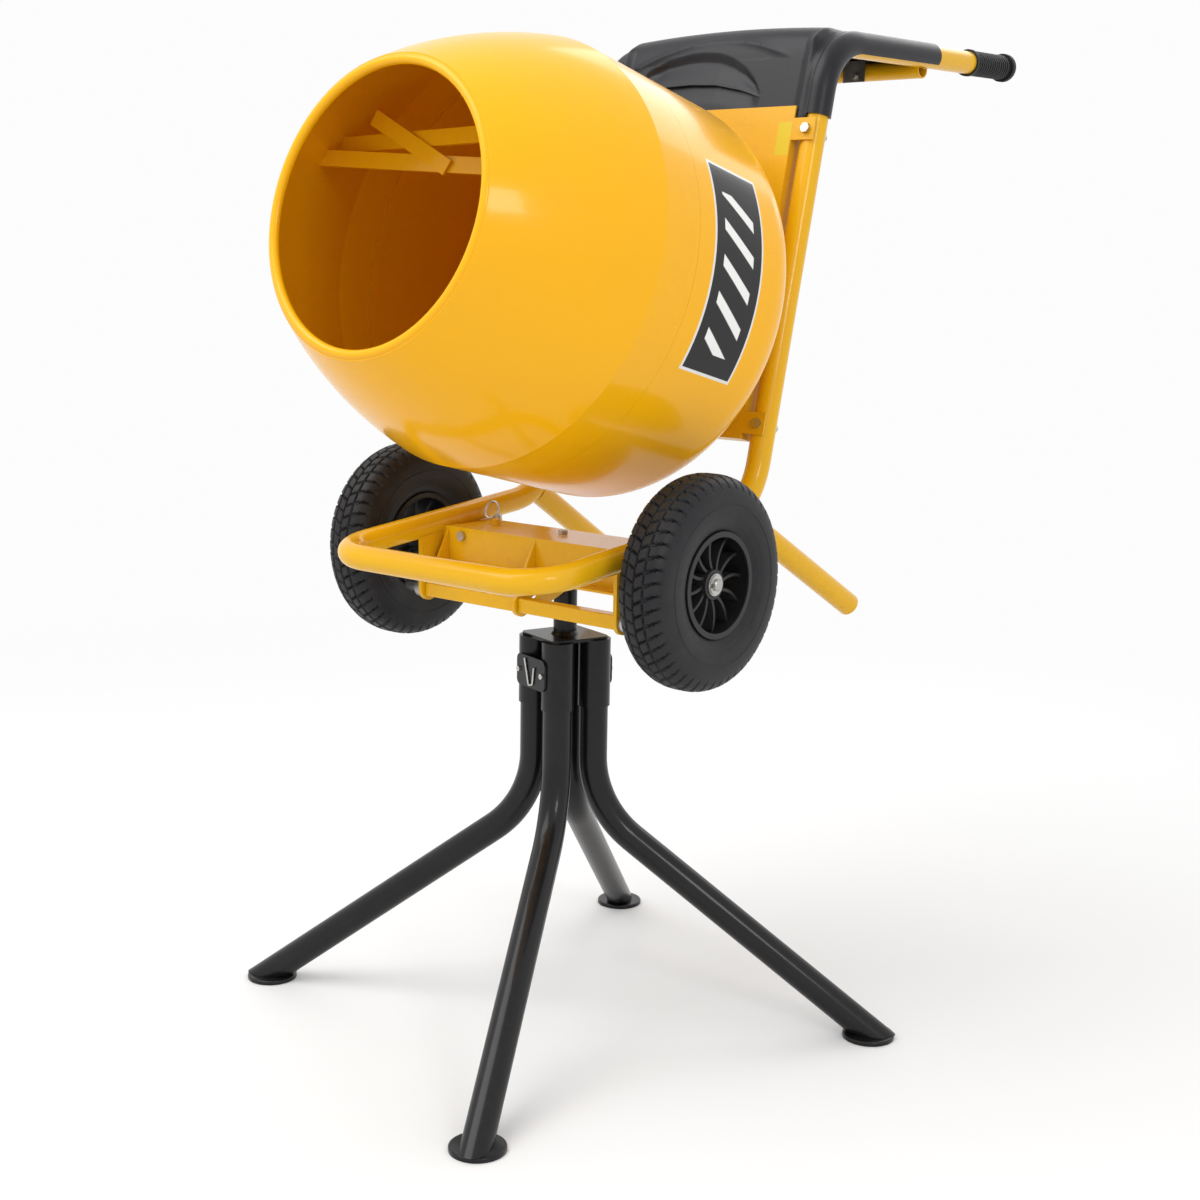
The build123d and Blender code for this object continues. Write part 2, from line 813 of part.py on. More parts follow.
def paddle_bar(first, last):
    """A flat bar across the drum, trimmed to the drum's wall."""
    long = (Vector(*last) - Vector(*first)).normalized()
    start = Vector(*first) - long * 80
    plane = Plane(origin=start, z_dir=long, x_dir=(0, 0, 1))
    bar = extrude(plane * Rectangle(paddle_width, paddle_thick), amount=(Vector(*last) - start).length + 80)
    return in_drive(bar & along_y(drum_body(drum_wall + 0.3)))


def paddle_lower():
    """The lower mixing bar, right across the drum."""
    return paddle_bar(*lower_paddle)


def paddle_upper():
    """The upper mixing bar, right across the drum."""
    return paddle_bar(*upper_paddle)


def paddle_cross():
    """The slanted blade welded on the front of both bars."""
    first, last = (Vector(*end) for end in cross_paddle)
    plane = Plane(origin=first, z_dir=(last - first).normalized(), x_dir=(0.45, 0, 0.9))
    blade = extrude(plane * Rectangle(paddle_width, paddle_thick), amount=(last - first).length)
    blade = in_drive(blade) - paddle_lower() - paddle_upper()
    return blade.solids().sort_by(SortBy.VOLUME)[-1]


# ============================ drive ============================

def upright_a():
    """The uprights' centre line, as a distance from the mouth."""
    return (upright_y(mouth_z) - mouth_y) * cos(radians(lean))


def bulkhead_front():
    """Front face of the bulkhead."""
    return upright_a() - tube_outer / 2 - seat_gap - bulkhead_thick


def bulkhead_rear():
    """Where pieces behind the bulkhead begin."""
    return bulkhead_front() + bulkhead_thick + seat_gap


def layshaft_rise():
    """Height of the layshaft over the drum's axis."""
    return gear_module * (gear_teeth + pinion_teeth) / 2


def on_shaft(rise, shape):
    """Put a shape that was made along Z on a shaft at a height over the drum's axis."""
    return in_drive(Pos(0, 0, rise) * along_y(shape))


def gearbox_start():
    """Front face of the gearbox."""
    return bulkhead_rear()


def gearbox_half(front):
    """One half of the cast gearbox, with its bearing seats."""
    middle = gearbox_start() + gearbox_depth / 2
    end = gearbox_start() + gearbox_depth
    span = (gearbox_start(), middle) if front else (middle + seat_gap, end)
    w = gearbox_wall
    shell = box((-gearbox_half_width, gearbox_half_width), span, (gearbox_low, gearbox_high))
    shell = fillet(shell.edges().filter_by(Axis.Y), 14)
    room_span = (span[0] + w, span[1] + 1) if front else (span[0] - 1, span[1] - w)
    room = box((w - gearbox_half_width, gearbox_half_width - w), room_span, (gearbox_low + w, gearbox_high - w))
    body = shell - fillet(room.edges().filter_by(Axis.Y), 14 - w)
    seat = span[0] + w - 1 if front else span[1] - w - bearing_width
    for rise, outer, shaft in bearing_sizes():
        body += along_y(Pos(0, -rise) * disc(outer + 5, seat, bearing_width + 1))
    inner_seat = span[0] + w if front else span[1] - w - bearing_width - 1
    for rise, outer, shaft in bearing_sizes():
        body -= along_y(Pos(0, -rise) * disc(outer + press_gap, inner_seat, bearing_width + 1))
        body -= along_y(Pos(0, -rise) * disc(shaft + 1.5, span[0] - 2, gearbox_depth))
    return in_drive(body)


def bearing_sizes():
    """Each gearbox shaft's height, bearing outer radius and shaft radius."""
    return [(0, 31, shaft_radius), (layshaft_rise(), 20, layshaft_radius)]


def bearings():
    """Two closed ball bearings on each gearbox shaft."""
    front = gearbox_start() + gearbox_wall + seat_gap
    rear = gearbox_start() + gearbox_depth - gearbox_wall - bearing_width
    rings = []
    for rise, outer, shaft in bearing_sizes():
        for start in (front, rear):
            rings.append(on_shaft(rise, ring(outer, shaft + run_gap, start, bearing_width - seat_gap)))
    return Compound(children=rings)


def drum_gear():
    """The large gear on the drum's shaft."""
    body = gear(gear_teeth, gear_start, gear_width, -pi / 2)
    return on_shaft(0, body - disc(shaft_radius + press_gap, gear_start - 1, gear_width + 2))


def layshaft():
    """The layshaft with its pinion cut in one piece, reaching back to the large pulley."""
    start = gearbox_start() + gearbox_wall + 1
    body = disc(layshaft_radius, start, pulley_a + pulley_width + 4 - start)
    body += gear(pinion_teeth, gear_start, gear_width, pi / 2 + pi / pinion_teeth)
    return on_shaft(layshaft_rise(), body)


def grooved_pulley(radius, bore):
    """A pulley with shallow ribs round it, along Z."""
    body = ring(radius, bore + press_gap, pulley_a, pulley_width)
    for index in range(4):
        body -= ring(radius + 1, radius - 1.5, pulley_a + 3 + index * 3.5, 1.5)
    return body


def big_pulley():
    """The large pulley on the layshaft."""
    body = grooved_pulley(big_pulley_radius, layshaft_radius)
    for face in (pulley_a - 1, pulley_a + pulley_width - 5):
        body -= ring(big_pulley_radius - 8, layshaft_radius + 9, face, 6)
    return on_shaft(layshaft_rise(), body)


def motor_pulley():
    """The small pulley on the motor's shaft."""
    return on_shaft(motor_rise, grooved_pulley(small_pulley_radius, motor_shaft_radius))


def motor_rotor():
    """The motor's shaft with its iron core and cooling fan."""
    start = bulkhead_rear()
    body = disc(motor_shaft_radius, start + 6, pulley_a + pulley_width + 3 - start - 6)
    body += disc(motor_core_radius, start + 30, 36) + disc(38, start + 76, 5)
    return on_shaft(motor_rise, body)


def motor_casing():
    """The motor's ribbed casing, closed at both ends."""
    start = bulkhead_rear()
    body = disc(motor_radius - 3, start, motor_length)
    rib = Pos(motor_radius - 3, 0, start + motor_length / 2) * Box(6, 2.5, motor_length - 16)
    for index in range(20):
        body += Rot(Z=index * 18) * rib
    body -= disc(motor_radius - 8, start + 5, motor_length - 10)
    return on_shaft(motor_rise, body - disc(motor_shaft_radius + 0.5, start + 10, motor_length))


def motor_stator():
    """The wound iron ring inside the motor."""
    start = bulkhead_rear()
    body = ring(motor_radius - 8 - press_gap, motor_core_radius + 0.6, start + 30, 36)
    return on_shaft(motor_rise, body + ring(40, motor_core_radius + 4, start + 22, 52))


def belt_loop(extra):
    """Outline round both pulleys at a distance from them."""
    small = small_pulley_radius + extra
    large = big_pulley_radius + extra
    across = motor_rise - layshaft_rise()
    tilt = (large - small) / across
    level = sqrt(1 - tilt ** 2)
    sides = [(small * level, -small * tilt - across), (large * level, -large * tilt),
             (-large * level, -large * tilt), (-small * level, -small * tilt - across)]
    return Circle(large) + Pos(0, -across) * Circle(small) + make_face(Polyline(*sides, close=True))


def drive_belt():
    """The belt round both pulleys."""
    outer = extrude(belt_loop(belt_gap + belt_thick), amount=pulley_width - 4)
    inner = extrude(belt_loop(belt_gap), amount=pulley_width)
    return on_shaft(layshaft_rise(), Pos(0, 0, pulley_a + 2) * (outer - inner))


# ============================ housing ============================

def bulkhead():
    """The pressed plate between the uprights that carries the whole drive."""
    a = bulkhead_front()
    t = bulkhead_thick
    rear = a + bulkhead_flange
    body = box((-bulkhead_half, bulkhead_half), (a, a + t), (bulkhead_low, bulkhead_high))
    body += box((-bulkhead_half, bulkhead_half), (a, rear), (bulkhead_low, bulkhead_low + t))
    flange = box((bulkhead_half - t, bulkhead_half), (a, rear), (bulkhead_low, flange_high))
    body += flange + mirrored(flange)
    for level in ear_levels:
        ear = box((-ear_reach, ear_reach), (a, a + t), (level - ear_height / 2, level + ear_height / 2))
        body += ear
    body -= along_y(disc(bulkhead_hole, a - 5, 20))
    return in_drive(body) - housing_bolts(0.1)


def bolt_places():
    """The four bolts that hold the bulkhead's ears to the uprights: x and level."""
    return [(side * frame_half, level) for side in (-1, 1) for level in ear_levels]


def housing_bolts(extra=0.0):
    """Four through bolts; extra widens them into holes."""
    bolts = []
    start = bulkhead_front() - seat_gap
    length = upright_a() + tube_outer / 2 + 12 - start
    for x, level in bolt_places():
        bolt = disc(bolt_radius + extra, start - 5, length + 10) if extra else Pos(0, 0, start) * hex_bolt(
            bolt_radius, length, 6)
        bolts.append(in_drive(along_y(Pos(x, -level, 0) * bolt)))
    return Compound(children=bolts)


def housing_nuts():
    """Four nuts with washers behind the uprights."""
    nuts = []
    start = upright_a() + tube_outer / 2 + seat_gap
    hexagon = extrude(RegularPolygon(6.5, 6, major_radius=False), amount=6)
    nut = disc(8, start, 1.6) + Pos(0, 0, start + 1.6) * hexagon
    nut -= disc(bolt_radius + press_gap, start - 1, 12)
    for x, level in bolt_places():
        nuts.append(in_drive(along_y(Pos(x, -level, 0) * nut)))
    return Compound(children=nuts)


def rear_cover():
    """The deep cover behind the bulkhead, over motor, belt and gearbox."""
    front = bulkhead_rear()
    w = cover_wall
    outer = box((-cover_half, cover_half), (front, cover_end), (cover_low, cover_high))
    outer = fillet(outer.edges().group_by(Axis.Y)[-1], cover_round)
    room = box((w - cover_half, cover_half - w), (front - 20, cover_end - w), (cover_low + w, cover_high - w))
    room = fillet(room.edges().group_by(Axis.Y)[-1], cover_round - w)
    body = outer - room
    for index in range(6):
        level = cover_low + 35 + index * 13
        body -= box((-50, 50), (cover_end - 10, cover_end + 5), (level, level + 5))
    for x, level in cover_screw_places():
        inward = -1 if x > 0 else 1
        body += box(sorted((x - inward * 8, x + inward * 10)), (front, front + w), (level - 9, level + 9))
    for x, level in cover_screw_places():
        body -= along_y(Pos(x, -level, 0) * disc(3 + press_gap, front - 1, 20))
    body -= on_cover(button_room(0.6, -20))
    body -= on_cover(Pos(0, switch_rise - inlet_rise, 0) * disc(inlet_radius - 4, -20, 30))
    return in_drive(body)


def on_cover(shape):
    """Place a shape made along Z on the cover's rear face at the switch."""
    return Pos(0, cover_end, switch_rise) * along_y(shape)


def button_room(gap, start):
    """Two round passages for the buttons, along Z."""
    passages = [Pos(0, side * button_pitch / 2) * disc(button_radius + gap, start, 60) for side in (-1, 1)]
    return Compound(children=passages)


def cover_screw_places():
    """Four tabs beside the rear cover: x and level."""
    return [(side * (cover_half + 9), level) for side in (-1, 1) for level in tab_levels]


def cover_screws():
    """Four screws that hold the rear cover to the bulkhead."""
    screws = []
    start = bulkhead_rear() + cover_wall + seat_gap
    for x, level in cover_screw_places():
        screw = disc(6, start, 4) + disc(3, start - cover_wall - seat_gap, cover_wall + 2)
        screws.append(in_drive(along_y(Pos(x, -level, 0) * screw)))
    return Compound(children=screws)


def switch_box():
    """The switch's housing on the cover's rear face, with a passage for each button."""
    body = Pos(0, 0, seat_gap + switch_depth / 2) * Box(2 * switch_half[0], 2 * switch_half[1], switch_depth)
    body = fillet(body.edges().filter_by(Axis.Z), 8)
    body = fillet(body.edges().group_by(Axis.Z)[-1], 2)
    return in_drive(on_cover(body - button_room(run_gap + 0.2, -1)))


def switch_block():
    """The switch's contact block behind both buttons, inside the cover."""
    start = -cover_wall - seat_gap - 14
    return in_drive(on_cover(Pos(0, 0, start + 7) * Box(2 * switch_half[0] - 6, 2 * switch_half[1] - 8, 14)))


def button(side):
    """One push button, with room behind it for its travel."""
    start = -cover_wall - seat_gap + button_travel + 0.3
    body = disc(button_radius, start, seat_gap + switch_depth + button_height - start)
    body = fillet(body.edges().group_by(Axis.Z)[-1], 1.5)
    return in_drive(on_cover(Pos(0, side * button_pitch / 2, 0) * body))


def power_inlet():
    """The shrouded inlet where a supply lead would be plugged in."""
    shroud = inlet_radius - 4 - press_gap
    body = ring(shroud, shroud - 3, -18, 40) + disc(shroud, -18, 4)
    body += ring(inlet_radius, shroud - 3, seat_gap, 3)
    for index in range(3):
        angle = radians(90 + 120 * index)
        body += Pos(6.5 * cos(angle), 6.5 * sin(angle), 0) * disc(2, -15, 26)
    return in_drive(on_cover(Pos(0, switch_rise - inlet_rise, 0) * body))


# ============================ hood ============================

def hood_section(x, depth):
    """Outline of the hood at one x; depth moves it inwards to give the room inside."""
    top = hood_top - hood_fall * (x / hood_half) ** 2 - depth
    front = hood_front + depth
    points = [(front, hood_low), (front + 25, 1400), (front + 32, top - 22), (front + 47 - depth / 2, top - 6),
              (hood_front + 67, top), (hood_front + 100, top - 1.5), (hood_rear - depth, top - 11)]
    points.append((hood_rear - depth, hood_side_low if depth else hood_skirt))
    if depth:
        points.append((front, hood_side_low))
    return make_face(Polyline(*[(x, y, z) for y, z in points], close=True))


def side_cut(high, rear, start, thick):
    """A block behind the uprights that opens the hood's side between two heights."""
    behind = 8
    outline = [(upright_y(hood_side_low) + behind, hood_side_low), (upright_y(high) + behind, high),
               (rear, high), (rear, hood_side_low)]
    return plate_yz(outline, start, thick)


def hood():
    """The moulded hood between the handles, with a sleeve over each side tube."""
    steps = [-1, -0.7, -0.35, 0, 0.35, 0.7, 1]
    outer = loft([hood_section(step * hood_half, 0) for step in steps], ruled=True)
    room = loft([hood_section(step * (hood_half + 1), hood_wall) for step in steps], ruled=True)
    hump = Pos(*hump_place, hood_top - 5) * Box(70, 66, 18)
    body = outer + fillet(hump.edges().group_by(Axis.Z)[-1], 6) - room
    reach = box((frame_half - 44, frame_half + 56), (250, hood_rear), (hood_low, hood_top + 50))
    sleeve = side_solid(tube_outer / 2 + seat_gap + sleeve_wall) & reach
    body += sleeve
    body += mirrored(sleeve)
    open_side = side_cut(hood_side_high, hood_rear + 20, frame_half - 17, 60)
    inner_side = side_cut(hood_skirt, hood_rear - 10, frame_half - 29, 40)
    tube = side_solid(tube_outer / 2 + seat_gap)
    bar = disc(crossbar_outer / 2 + seat_gap, 0, frame_half)
    tube += Pos(0, crossbar_y, crossbar_z()) * along_x(bar)
    for part in (tube, open_side, inner_side):
        body = body - part - mirrored(part)
    return body.solids().sort_by(SortBy.VOLUME)[-1]


def hood_bracket():
    """The angle bracket between the crossbar and the hood, near the right handle."""
    z = crossbar_z() + crossbar_outer / 2 + seat_gap
    rear = crossbar_y - crossbar_outer / 2 - seat_gap
    foot = box(bracket_span, (rear - bracket_thick, crossbar_y + 12), (z, z + bracket_thick))
    body = foot + box(bracket_span, (rear - bracket_thick, rear), (z - 30, z + bracket_thick))
    return body - Pos(sum(bracket_span) / 2, 0, z - 20) * along_y(disc(3 + press_gap, rear - 10, 20))


def hood_bolt():
    """The bolt through the hood's bracket into the crossbar."""
    z = crossbar_z() + crossbar_outer / 2 + seat_gap - 20
    front = crossbar_y - crossbar_outer / 2 - bracket_thick - 2 * seat_gap
    return Pos(sum(bracket_span) / 2, front, z) * along_y(hex_bolt(3, bracket_thick + seat_gap, 4))


# ============================ write every piece ============================

def save(name, shape):
    """Write one sub-part."""
    export_step(shape, f"parts/{name}.step")


for name, index in (("leg_front", 0), ("leg_right", 1), ("leg_rear", 2), ("leg_left", 3)):
    save(name, make_leg(index))
save("stand_head", stand_head())
save("foot_pads", foot_pads())
save("leg_lock_plates", lock_plates())
save("leg_lock_pins", together(lock_pins(0), lock_clips()))

save("swivel_tube", swivel_tube())
save("swivel_arms", both_sides(swivel_arm()))
save("hinge_barrels", both_sides(hinge_barrel()))

save("front_loop", front_loop())
right_tube = side_tube()
save("side_tube_right", right_tube)
save("side_tube_left", mirrored(right_tube))
save("rear_legs", both_sides(rear_leg()))
save("handle_crossbar", handle_crossbar())
save("cross_channel", cross_channel())
save("web_gussets", together(web_gussets(), channel_stud()))
save("linch_pin", linch_pin())
save("buffer", buffer())
save("frame_bolts", together(frame_bolts(), hood_bolt()))
save("pivot_plates", together(both_sides(side_plate()), middle_lug()))
save("tilt_rod", tilt_rod())
save("wheel_axle", wheel_axle())
save("collars", together(both_sides(axle_spacer()), both_sides(rod_collar())))
save("axle_clips", together(both_sides(axle_washer()), both_sides(axle_clip())))
save("grips", both_sides(grip()))

right_tyre = tyre()
right_hub = wheel_hub()
save("tyre_right", right_tyre)
save("tyre_left", mirrored(right_tyre))
save("wheel_hub_right", right_hub)
save("wheel_hub_left", mirrored(right_hub))

save("drum_front", drum_front())
save("drum_rear", drum_rear())
save("back_disc", back_disc())
save("drum_shaft", drum_shaft())
save("hub_bolts", hub_bolts())
save("paddle_lower", paddle_lower())
save("paddle_upper", paddle_upper())
save("paddle_cross", paddle_cross())
save("drum_gear", drum_gear())

save("bulkhead", bulkhead())
save("housing_bolts", together(housing_bolts(), housing_nuts(), cover_screws()))
save("rear_cover", rear_cover())
save("gearbox_front", gearbox_half(True))
save("gearbox_rear", gearbox_half(False))
save("gearbox_bearings", bearings())
save("layshaft", layshaft())
save("big_pulley", big_pulley())
save("motor_pulley", motor_pulley())
save("motor_rotor", motor_rotor())
save("motor_casing", motor_casing())
save("motor_stator", motor_stator())
save("drive_belt", drive_belt())
save("switch_box", switch_box())
save("switch_block", switch_block())
save("start_button", button(-1))
save("stop_button", button(1))
save("power_inlet", power_inlet())
save("hood", hood())
save("hood_bracket", hood_bracket())
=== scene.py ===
from math import atan2, cos, pi, radians, sin, sqrt

import bmesh
import bpy
from mathutils import Matrix, Vector


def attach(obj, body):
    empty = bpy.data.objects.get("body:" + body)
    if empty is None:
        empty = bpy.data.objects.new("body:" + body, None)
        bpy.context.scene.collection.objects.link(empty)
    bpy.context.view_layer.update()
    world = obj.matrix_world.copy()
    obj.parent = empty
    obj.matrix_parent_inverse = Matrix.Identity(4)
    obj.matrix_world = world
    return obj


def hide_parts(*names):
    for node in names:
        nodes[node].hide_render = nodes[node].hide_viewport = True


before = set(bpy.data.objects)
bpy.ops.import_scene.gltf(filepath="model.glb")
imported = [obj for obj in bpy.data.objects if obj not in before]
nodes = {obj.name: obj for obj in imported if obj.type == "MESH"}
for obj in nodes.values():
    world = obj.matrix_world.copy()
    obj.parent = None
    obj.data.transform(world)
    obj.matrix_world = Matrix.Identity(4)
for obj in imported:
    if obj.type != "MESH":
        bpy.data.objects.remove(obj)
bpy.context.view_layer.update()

scene = bpy.context.scene

# ---- Stand: four bent steel legs, a welded head with an upright pin, and round foot pads.
# The tubes are dipped in gloss black enamel, which is thin on the edges and faintly dusty in patches.
# The legs push into the head's sockets and are held by black plates and zinc pins.

# A paint film seen close: fine orange peel, edges rubbed thin, a few long scratches and settled dust.
paint_film = bpy.data.node_groups.new("Paint film", "ShaderNodeTree")
for socket_name, kind, start in (("Colour", "NodeSocketColor", (0.8, 0.8, 0.8, 1)),
                                 ("Primer", "NodeSocketColor", (0.3, 0.3, 0.3, 1)),
                                 ("Peel Size", "NodeSocketFloat", 300.0),
                                 ("Peel Depth", "NodeSocketFloat", 0.1),
                                 ("Wear", "NodeSocketFloat", 0.3), ("Dust", "NodeSocketFloat", 0.2),
                                 ("Roughness", "NodeSocketFloat", 0.3)):
    entry = paint_film.interface.new_socket(name=socket_name, in_out="INPUT", socket_type=kind)
    entry.default_value = start
for socket_name, kind in (("Colour", "NodeSocketColor"), ("Roughness", "NodeSocketFloat"),
                          ("Bare", "NodeSocketFloat"), ("Normal", "NodeSocketVector")):
    paint_film.interface.new_socket(name=socket_name, in_out="OUTPUT", socket_type=kind)


def add(tree, kind, **values):
    """One shader node; names with a leading capital set input sockets, the others set properties."""
    node = tree.nodes.new(kind)
    for name, value in values.items():
        key = name.replace("_", " ")
        if name[0].isupper():
            node.inputs[key].default_value = value
        elif name[0] == "i" and name[1:].isdigit():
            node.inputs[int(name[1:])].default_value = value
        else:
            setattr(node, name, value)
    return node


def math_node(tree, operation, first, second=None):
    """A math node; each input is a socket or a number."""
    node = tree.nodes.new("ShaderNodeMath")
    node.operation = operation
    for index, value in enumerate((first, second)):
        if value is None:
            continue
        if isinstance(value, (int, float)):
            node.inputs[index].default_value = value
        else:
            tree.links.new(value, node.inputs[index])
    return node.outputs[0]


def mix_colour(tree, share, first, second):
    """A colour mix; share is a socket or a number, colours are sockets or tuples."""
    node = tree.nodes.new("ShaderNodeMix")
    node.data_type = "RGBA"
    for socket, value in ((node.inputs[0], share), (node.inputs[6], first), (node.inputs[7], second)):
        if isinstance(value, (int, float, tuple)):
            socket.default_value = value
        else:
            tree.links.new(value, socket)
    return node.outputs[2]


def ramp(tree, source, low, high):
    """A smooth step of a value between low and high."""
    node = add(tree, "ShaderNodeMapRange", interpolation_type="SMOOTHSTEP", From_Min=low, From_Max=high)
    tree.links.new(source, node.inputs["Value"])
    return node.outputs[0]


t = paint_film
film_in = t.nodes.new("NodeGroupInput")
film_out = t.nodes.new("NodeGroupOutput")
place = t.nodes.new("ShaderNodeTexCoord").outputs["Object"]
peel = add(t, "ShaderNodeTexNoise", Detail=2.0, Roughness=0.5)
t.links.new(place, peel.inputs["Vector"])
t.links.new(film_in.outputs["Peel Size"], peel.inputs["Scale"])
blotch = add(t, "ShaderNodeTexNoise", Scale=11.0, Detail=6.0, Roughness=0.62)
t.links.new(place, blotch.inputs["Vector"])
speck = add(t, "ShaderNodeTexNoise", Scale=95.0, Detail=4.0, Roughness=0.6)
t.links.new(place, speck.inputs["Vector"])
stretch = add(t, "ShaderNodeMapping", Rotation=(0.5, 0.3, 0.8), Scale=(4.0, 4.0, 160.0))
t.links.new(place, stretch.inputs["Vector"])
scratch = add(t, "ShaderNodeTexNoise", Scale=3.0, Detail=2.0)
t.links.new(stretch.outputs[0], scratch.inputs["Vector"])
scratch_mask = ramp(t, scratch.outputs[0], 0.69, 0.74)
edge = t.nodes.new("ShaderNodeNewGeometry").outputs["Pointiness"]
edge_mask = math_node(t, "MULTIPLY", ramp(t, edge, 0.53, 0.6), ramp(t, speck.outputs[0], 0.5, 0.62))
chips = ramp(t, math_node(t, "MULTIPLY", blotch.outputs[0], speck.outputs[0]), 0.42, 0.46)
bare = math_node(t, "MULTIPLY", math_node(t, "MAXIMUM", edge_mask, chips), film_in.outputs["Wear"])
dust = math_node(t, "MULTIPLY", ramp(t, blotch.outputs[0], 0.38, 0.75), film_in.outputs["Dust"])
grime = (0.03, 0.02, 0.01, 1)
shade = mix_colour(t, math_node(t, "MULTIPLY", blotch.outputs[0], 0.05), film_in.outputs["Colour"], grime)
dusty = mix_colour(t, dust, shade, (0.42, 0.39, 0.34, 1))
t.links.new(mix_colour(t, bare, dusty, film_in.outputs["Primer"]), film_out.inputs["Colour"])
rough = math_node(t, "ADD", film_in.outputs["Roughness"], math_node(t, "MULTIPLY", dust, 0.8))
rough = math_node(t, "ADD", rough, math_node(t, "MULTIPLY", scratch_mask, 0.16))
t.links.new(math_node(t, "ADD", rough, math_node(t, "MULTIPLY", bare, 0.25)), film_out.inputs["Roughness"])
t.links.new(bare, film_out.inputs["Bare"])
height = math_node(t, "SUBTRACT", peel.outputs[0], math_node(t, "MULTIPLY", scratch_mask, 0.5))
height = math_node(t, "SUBTRACT", height, bare)
bump = add(t, "ShaderNodeBump", Distance=0.0006)
t.links.new(film_in.outputs["Peel Depth"], bump.inputs["Strength"])
t.links.new(height, bump.inputs["Height"])
t.links.new(bump.outputs[0], film_out.inputs["Normal"])


def new_material(name):
    """An empty material with its shader, and its node tree."""
    material = bpy.data.materials.new(name)
    material.use_nodes = True
    return material, material.node_tree, material.node_tree.nodes["Principled BSDF"]


def painted(name, colour, primer, roughness=0.25, peel=(300.0, 0.12), wear=0.05, dust=0.02, coat=0.2):
    """A painted metal material on the shared paint film."""
    material, tree, shader = new_material(name)
    film = tree.nodes.new("ShaderNodeGroup")
    film.node_tree = paint_film
    for key, value in (("Colour", (*colour, 1)), ("Primer", (*primer, 1)), ("Roughness", roughness),
                       ("Peel Size", peel[0]), ("Peel Depth", peel[1]), ("Wear", wear), ("Dust", dust)):
        film.inputs[key].default_value = value
    tree.links.new(film.outputs["Colour"], shader.inputs["Base Color"])
    tree.links.new(film.outputs["Roughness"], shader.inputs["Roughness"])
    tree.links.new(film.outputs["Normal"], shader.inputs["Normal"])
    shader.inputs["Coat Weight"].default_value = coat
    shader.inputs["Specular IOR Level"].default_value = 0.18
    shader.inputs["Coat Roughness"].default_value = 0.06
    return material, tree, shader, film


def dress(material, *names):
    """Give CAD nodes a material and smooth their round faces, keeping real edges sharp."""
    for name in names:
        mesh = nodes[name].data
        mesh.materials.clear()
        mesh.materials.append(material)
        smooth(mesh)


def smooth(mesh, angle=32):
    """Smooth shading over a mesh, with edges over the angle left sharp."""
    work = bmesh.new()
    work.from_mesh(mesh)
    limit = radians(angle)
    for face in work.faces:
        face.smooth = True
    for line in work.edges:
        line.smooth = not (len(line.link_faces) == 2 and line.calc_face_angle(0) > limit)
    sharp = [not line.smooth for line in work.edges]
    work.free()
    for index, polygon in enumerate(mesh.polygons):
        polygon.use_smooth = True
    for index, value in enumerate(sharp):
        mesh.edges[index].use_edge_sharp = value


stand_black = painted("stand_black", colour=(0.005, 0.005, 0.006), primer=(0.06, 0.06, 0.06), roughness=0.32,
                      peel=(260.0, 0.1), wear=0.04, dust=0.006, coat=0.25)[0]
dress(stand_black, "leg_front", "leg_right", "leg_rear", "leg_left", "stand_head", "foot_pads",
      "leg_lock_plates")

# ---- Zinc-plated fasteners: pins, clips, bolts and nuts all over the mixer.
# Bright passivated zinc with a faint crystalline spangle and darker handling marks.
zinc, tree, shader = new_material("zinc")
spangle = add(tree, "ShaderNodeTexVoronoi", Scale=420.0)
cloud = add(tree, "ShaderNodeTexNoise", Scale=60.0, Detail=5.0)
coords = tree.nodes.new("ShaderNodeTexCoord").outputs["Object"]
for texture in (spangle, cloud):
    tree.links.new(coords, texture.inputs["Vector"])
tone = mix_colour(tree, cloud.outputs[0], (0.42, 0.41, 0.38, 1), (0.66, 0.66, 0.64, 1))
tree.links.new(tone, shader.inputs["Base Color"])
cloudy = math_node(tree, "MULTIPLY", cloud.outputs[0], 0.25)
tree.links.new(math_node(tree, "ADD", cloudy, 0.22), shader.inputs["Roughness"])
shader.inputs["Metallic"].default_value = 1.0
bump = add(tree, "ShaderNodeBump", Strength=0.12, Distance=0.0004)
tree.links.new(spangle.outputs["Distance"], bump.inputs["Height"])
tree.links.new(bump.outputs[0], shader.inputs["Normal"])
dress(zinc, "leg_lock_pins", "linch_pin", "frame_bolts", "axle_clips", "hub_bolts",
      "housing_bolts", "hood_bracket")

# ---- Frame: 35 mm yellow tube, the folded cross member and pivot plates, and the swivel head.
# Everything is welded and then painted in one gloss coat, so the colour runs over plates and welds.
yellow_primer = (0.25, 0.16, 0.06)
frame_yellow = painted("frame_yellow", colour=(0.74, 0.4, 0.004), primer=yellow_primer, roughness=0.22,
                       peel=(240.0, 0.12), wear=0.05, dust=0.015, coat=0.2)[0]
dress(frame_yellow, "front_loop", "side_tube_right", "side_tube_left", "rear_legs", "handle_crossbar",
      "cross_channel", "web_gussets", "pivot_plates", "swivel_tube", "swivel_arms", "hinge_barrels")

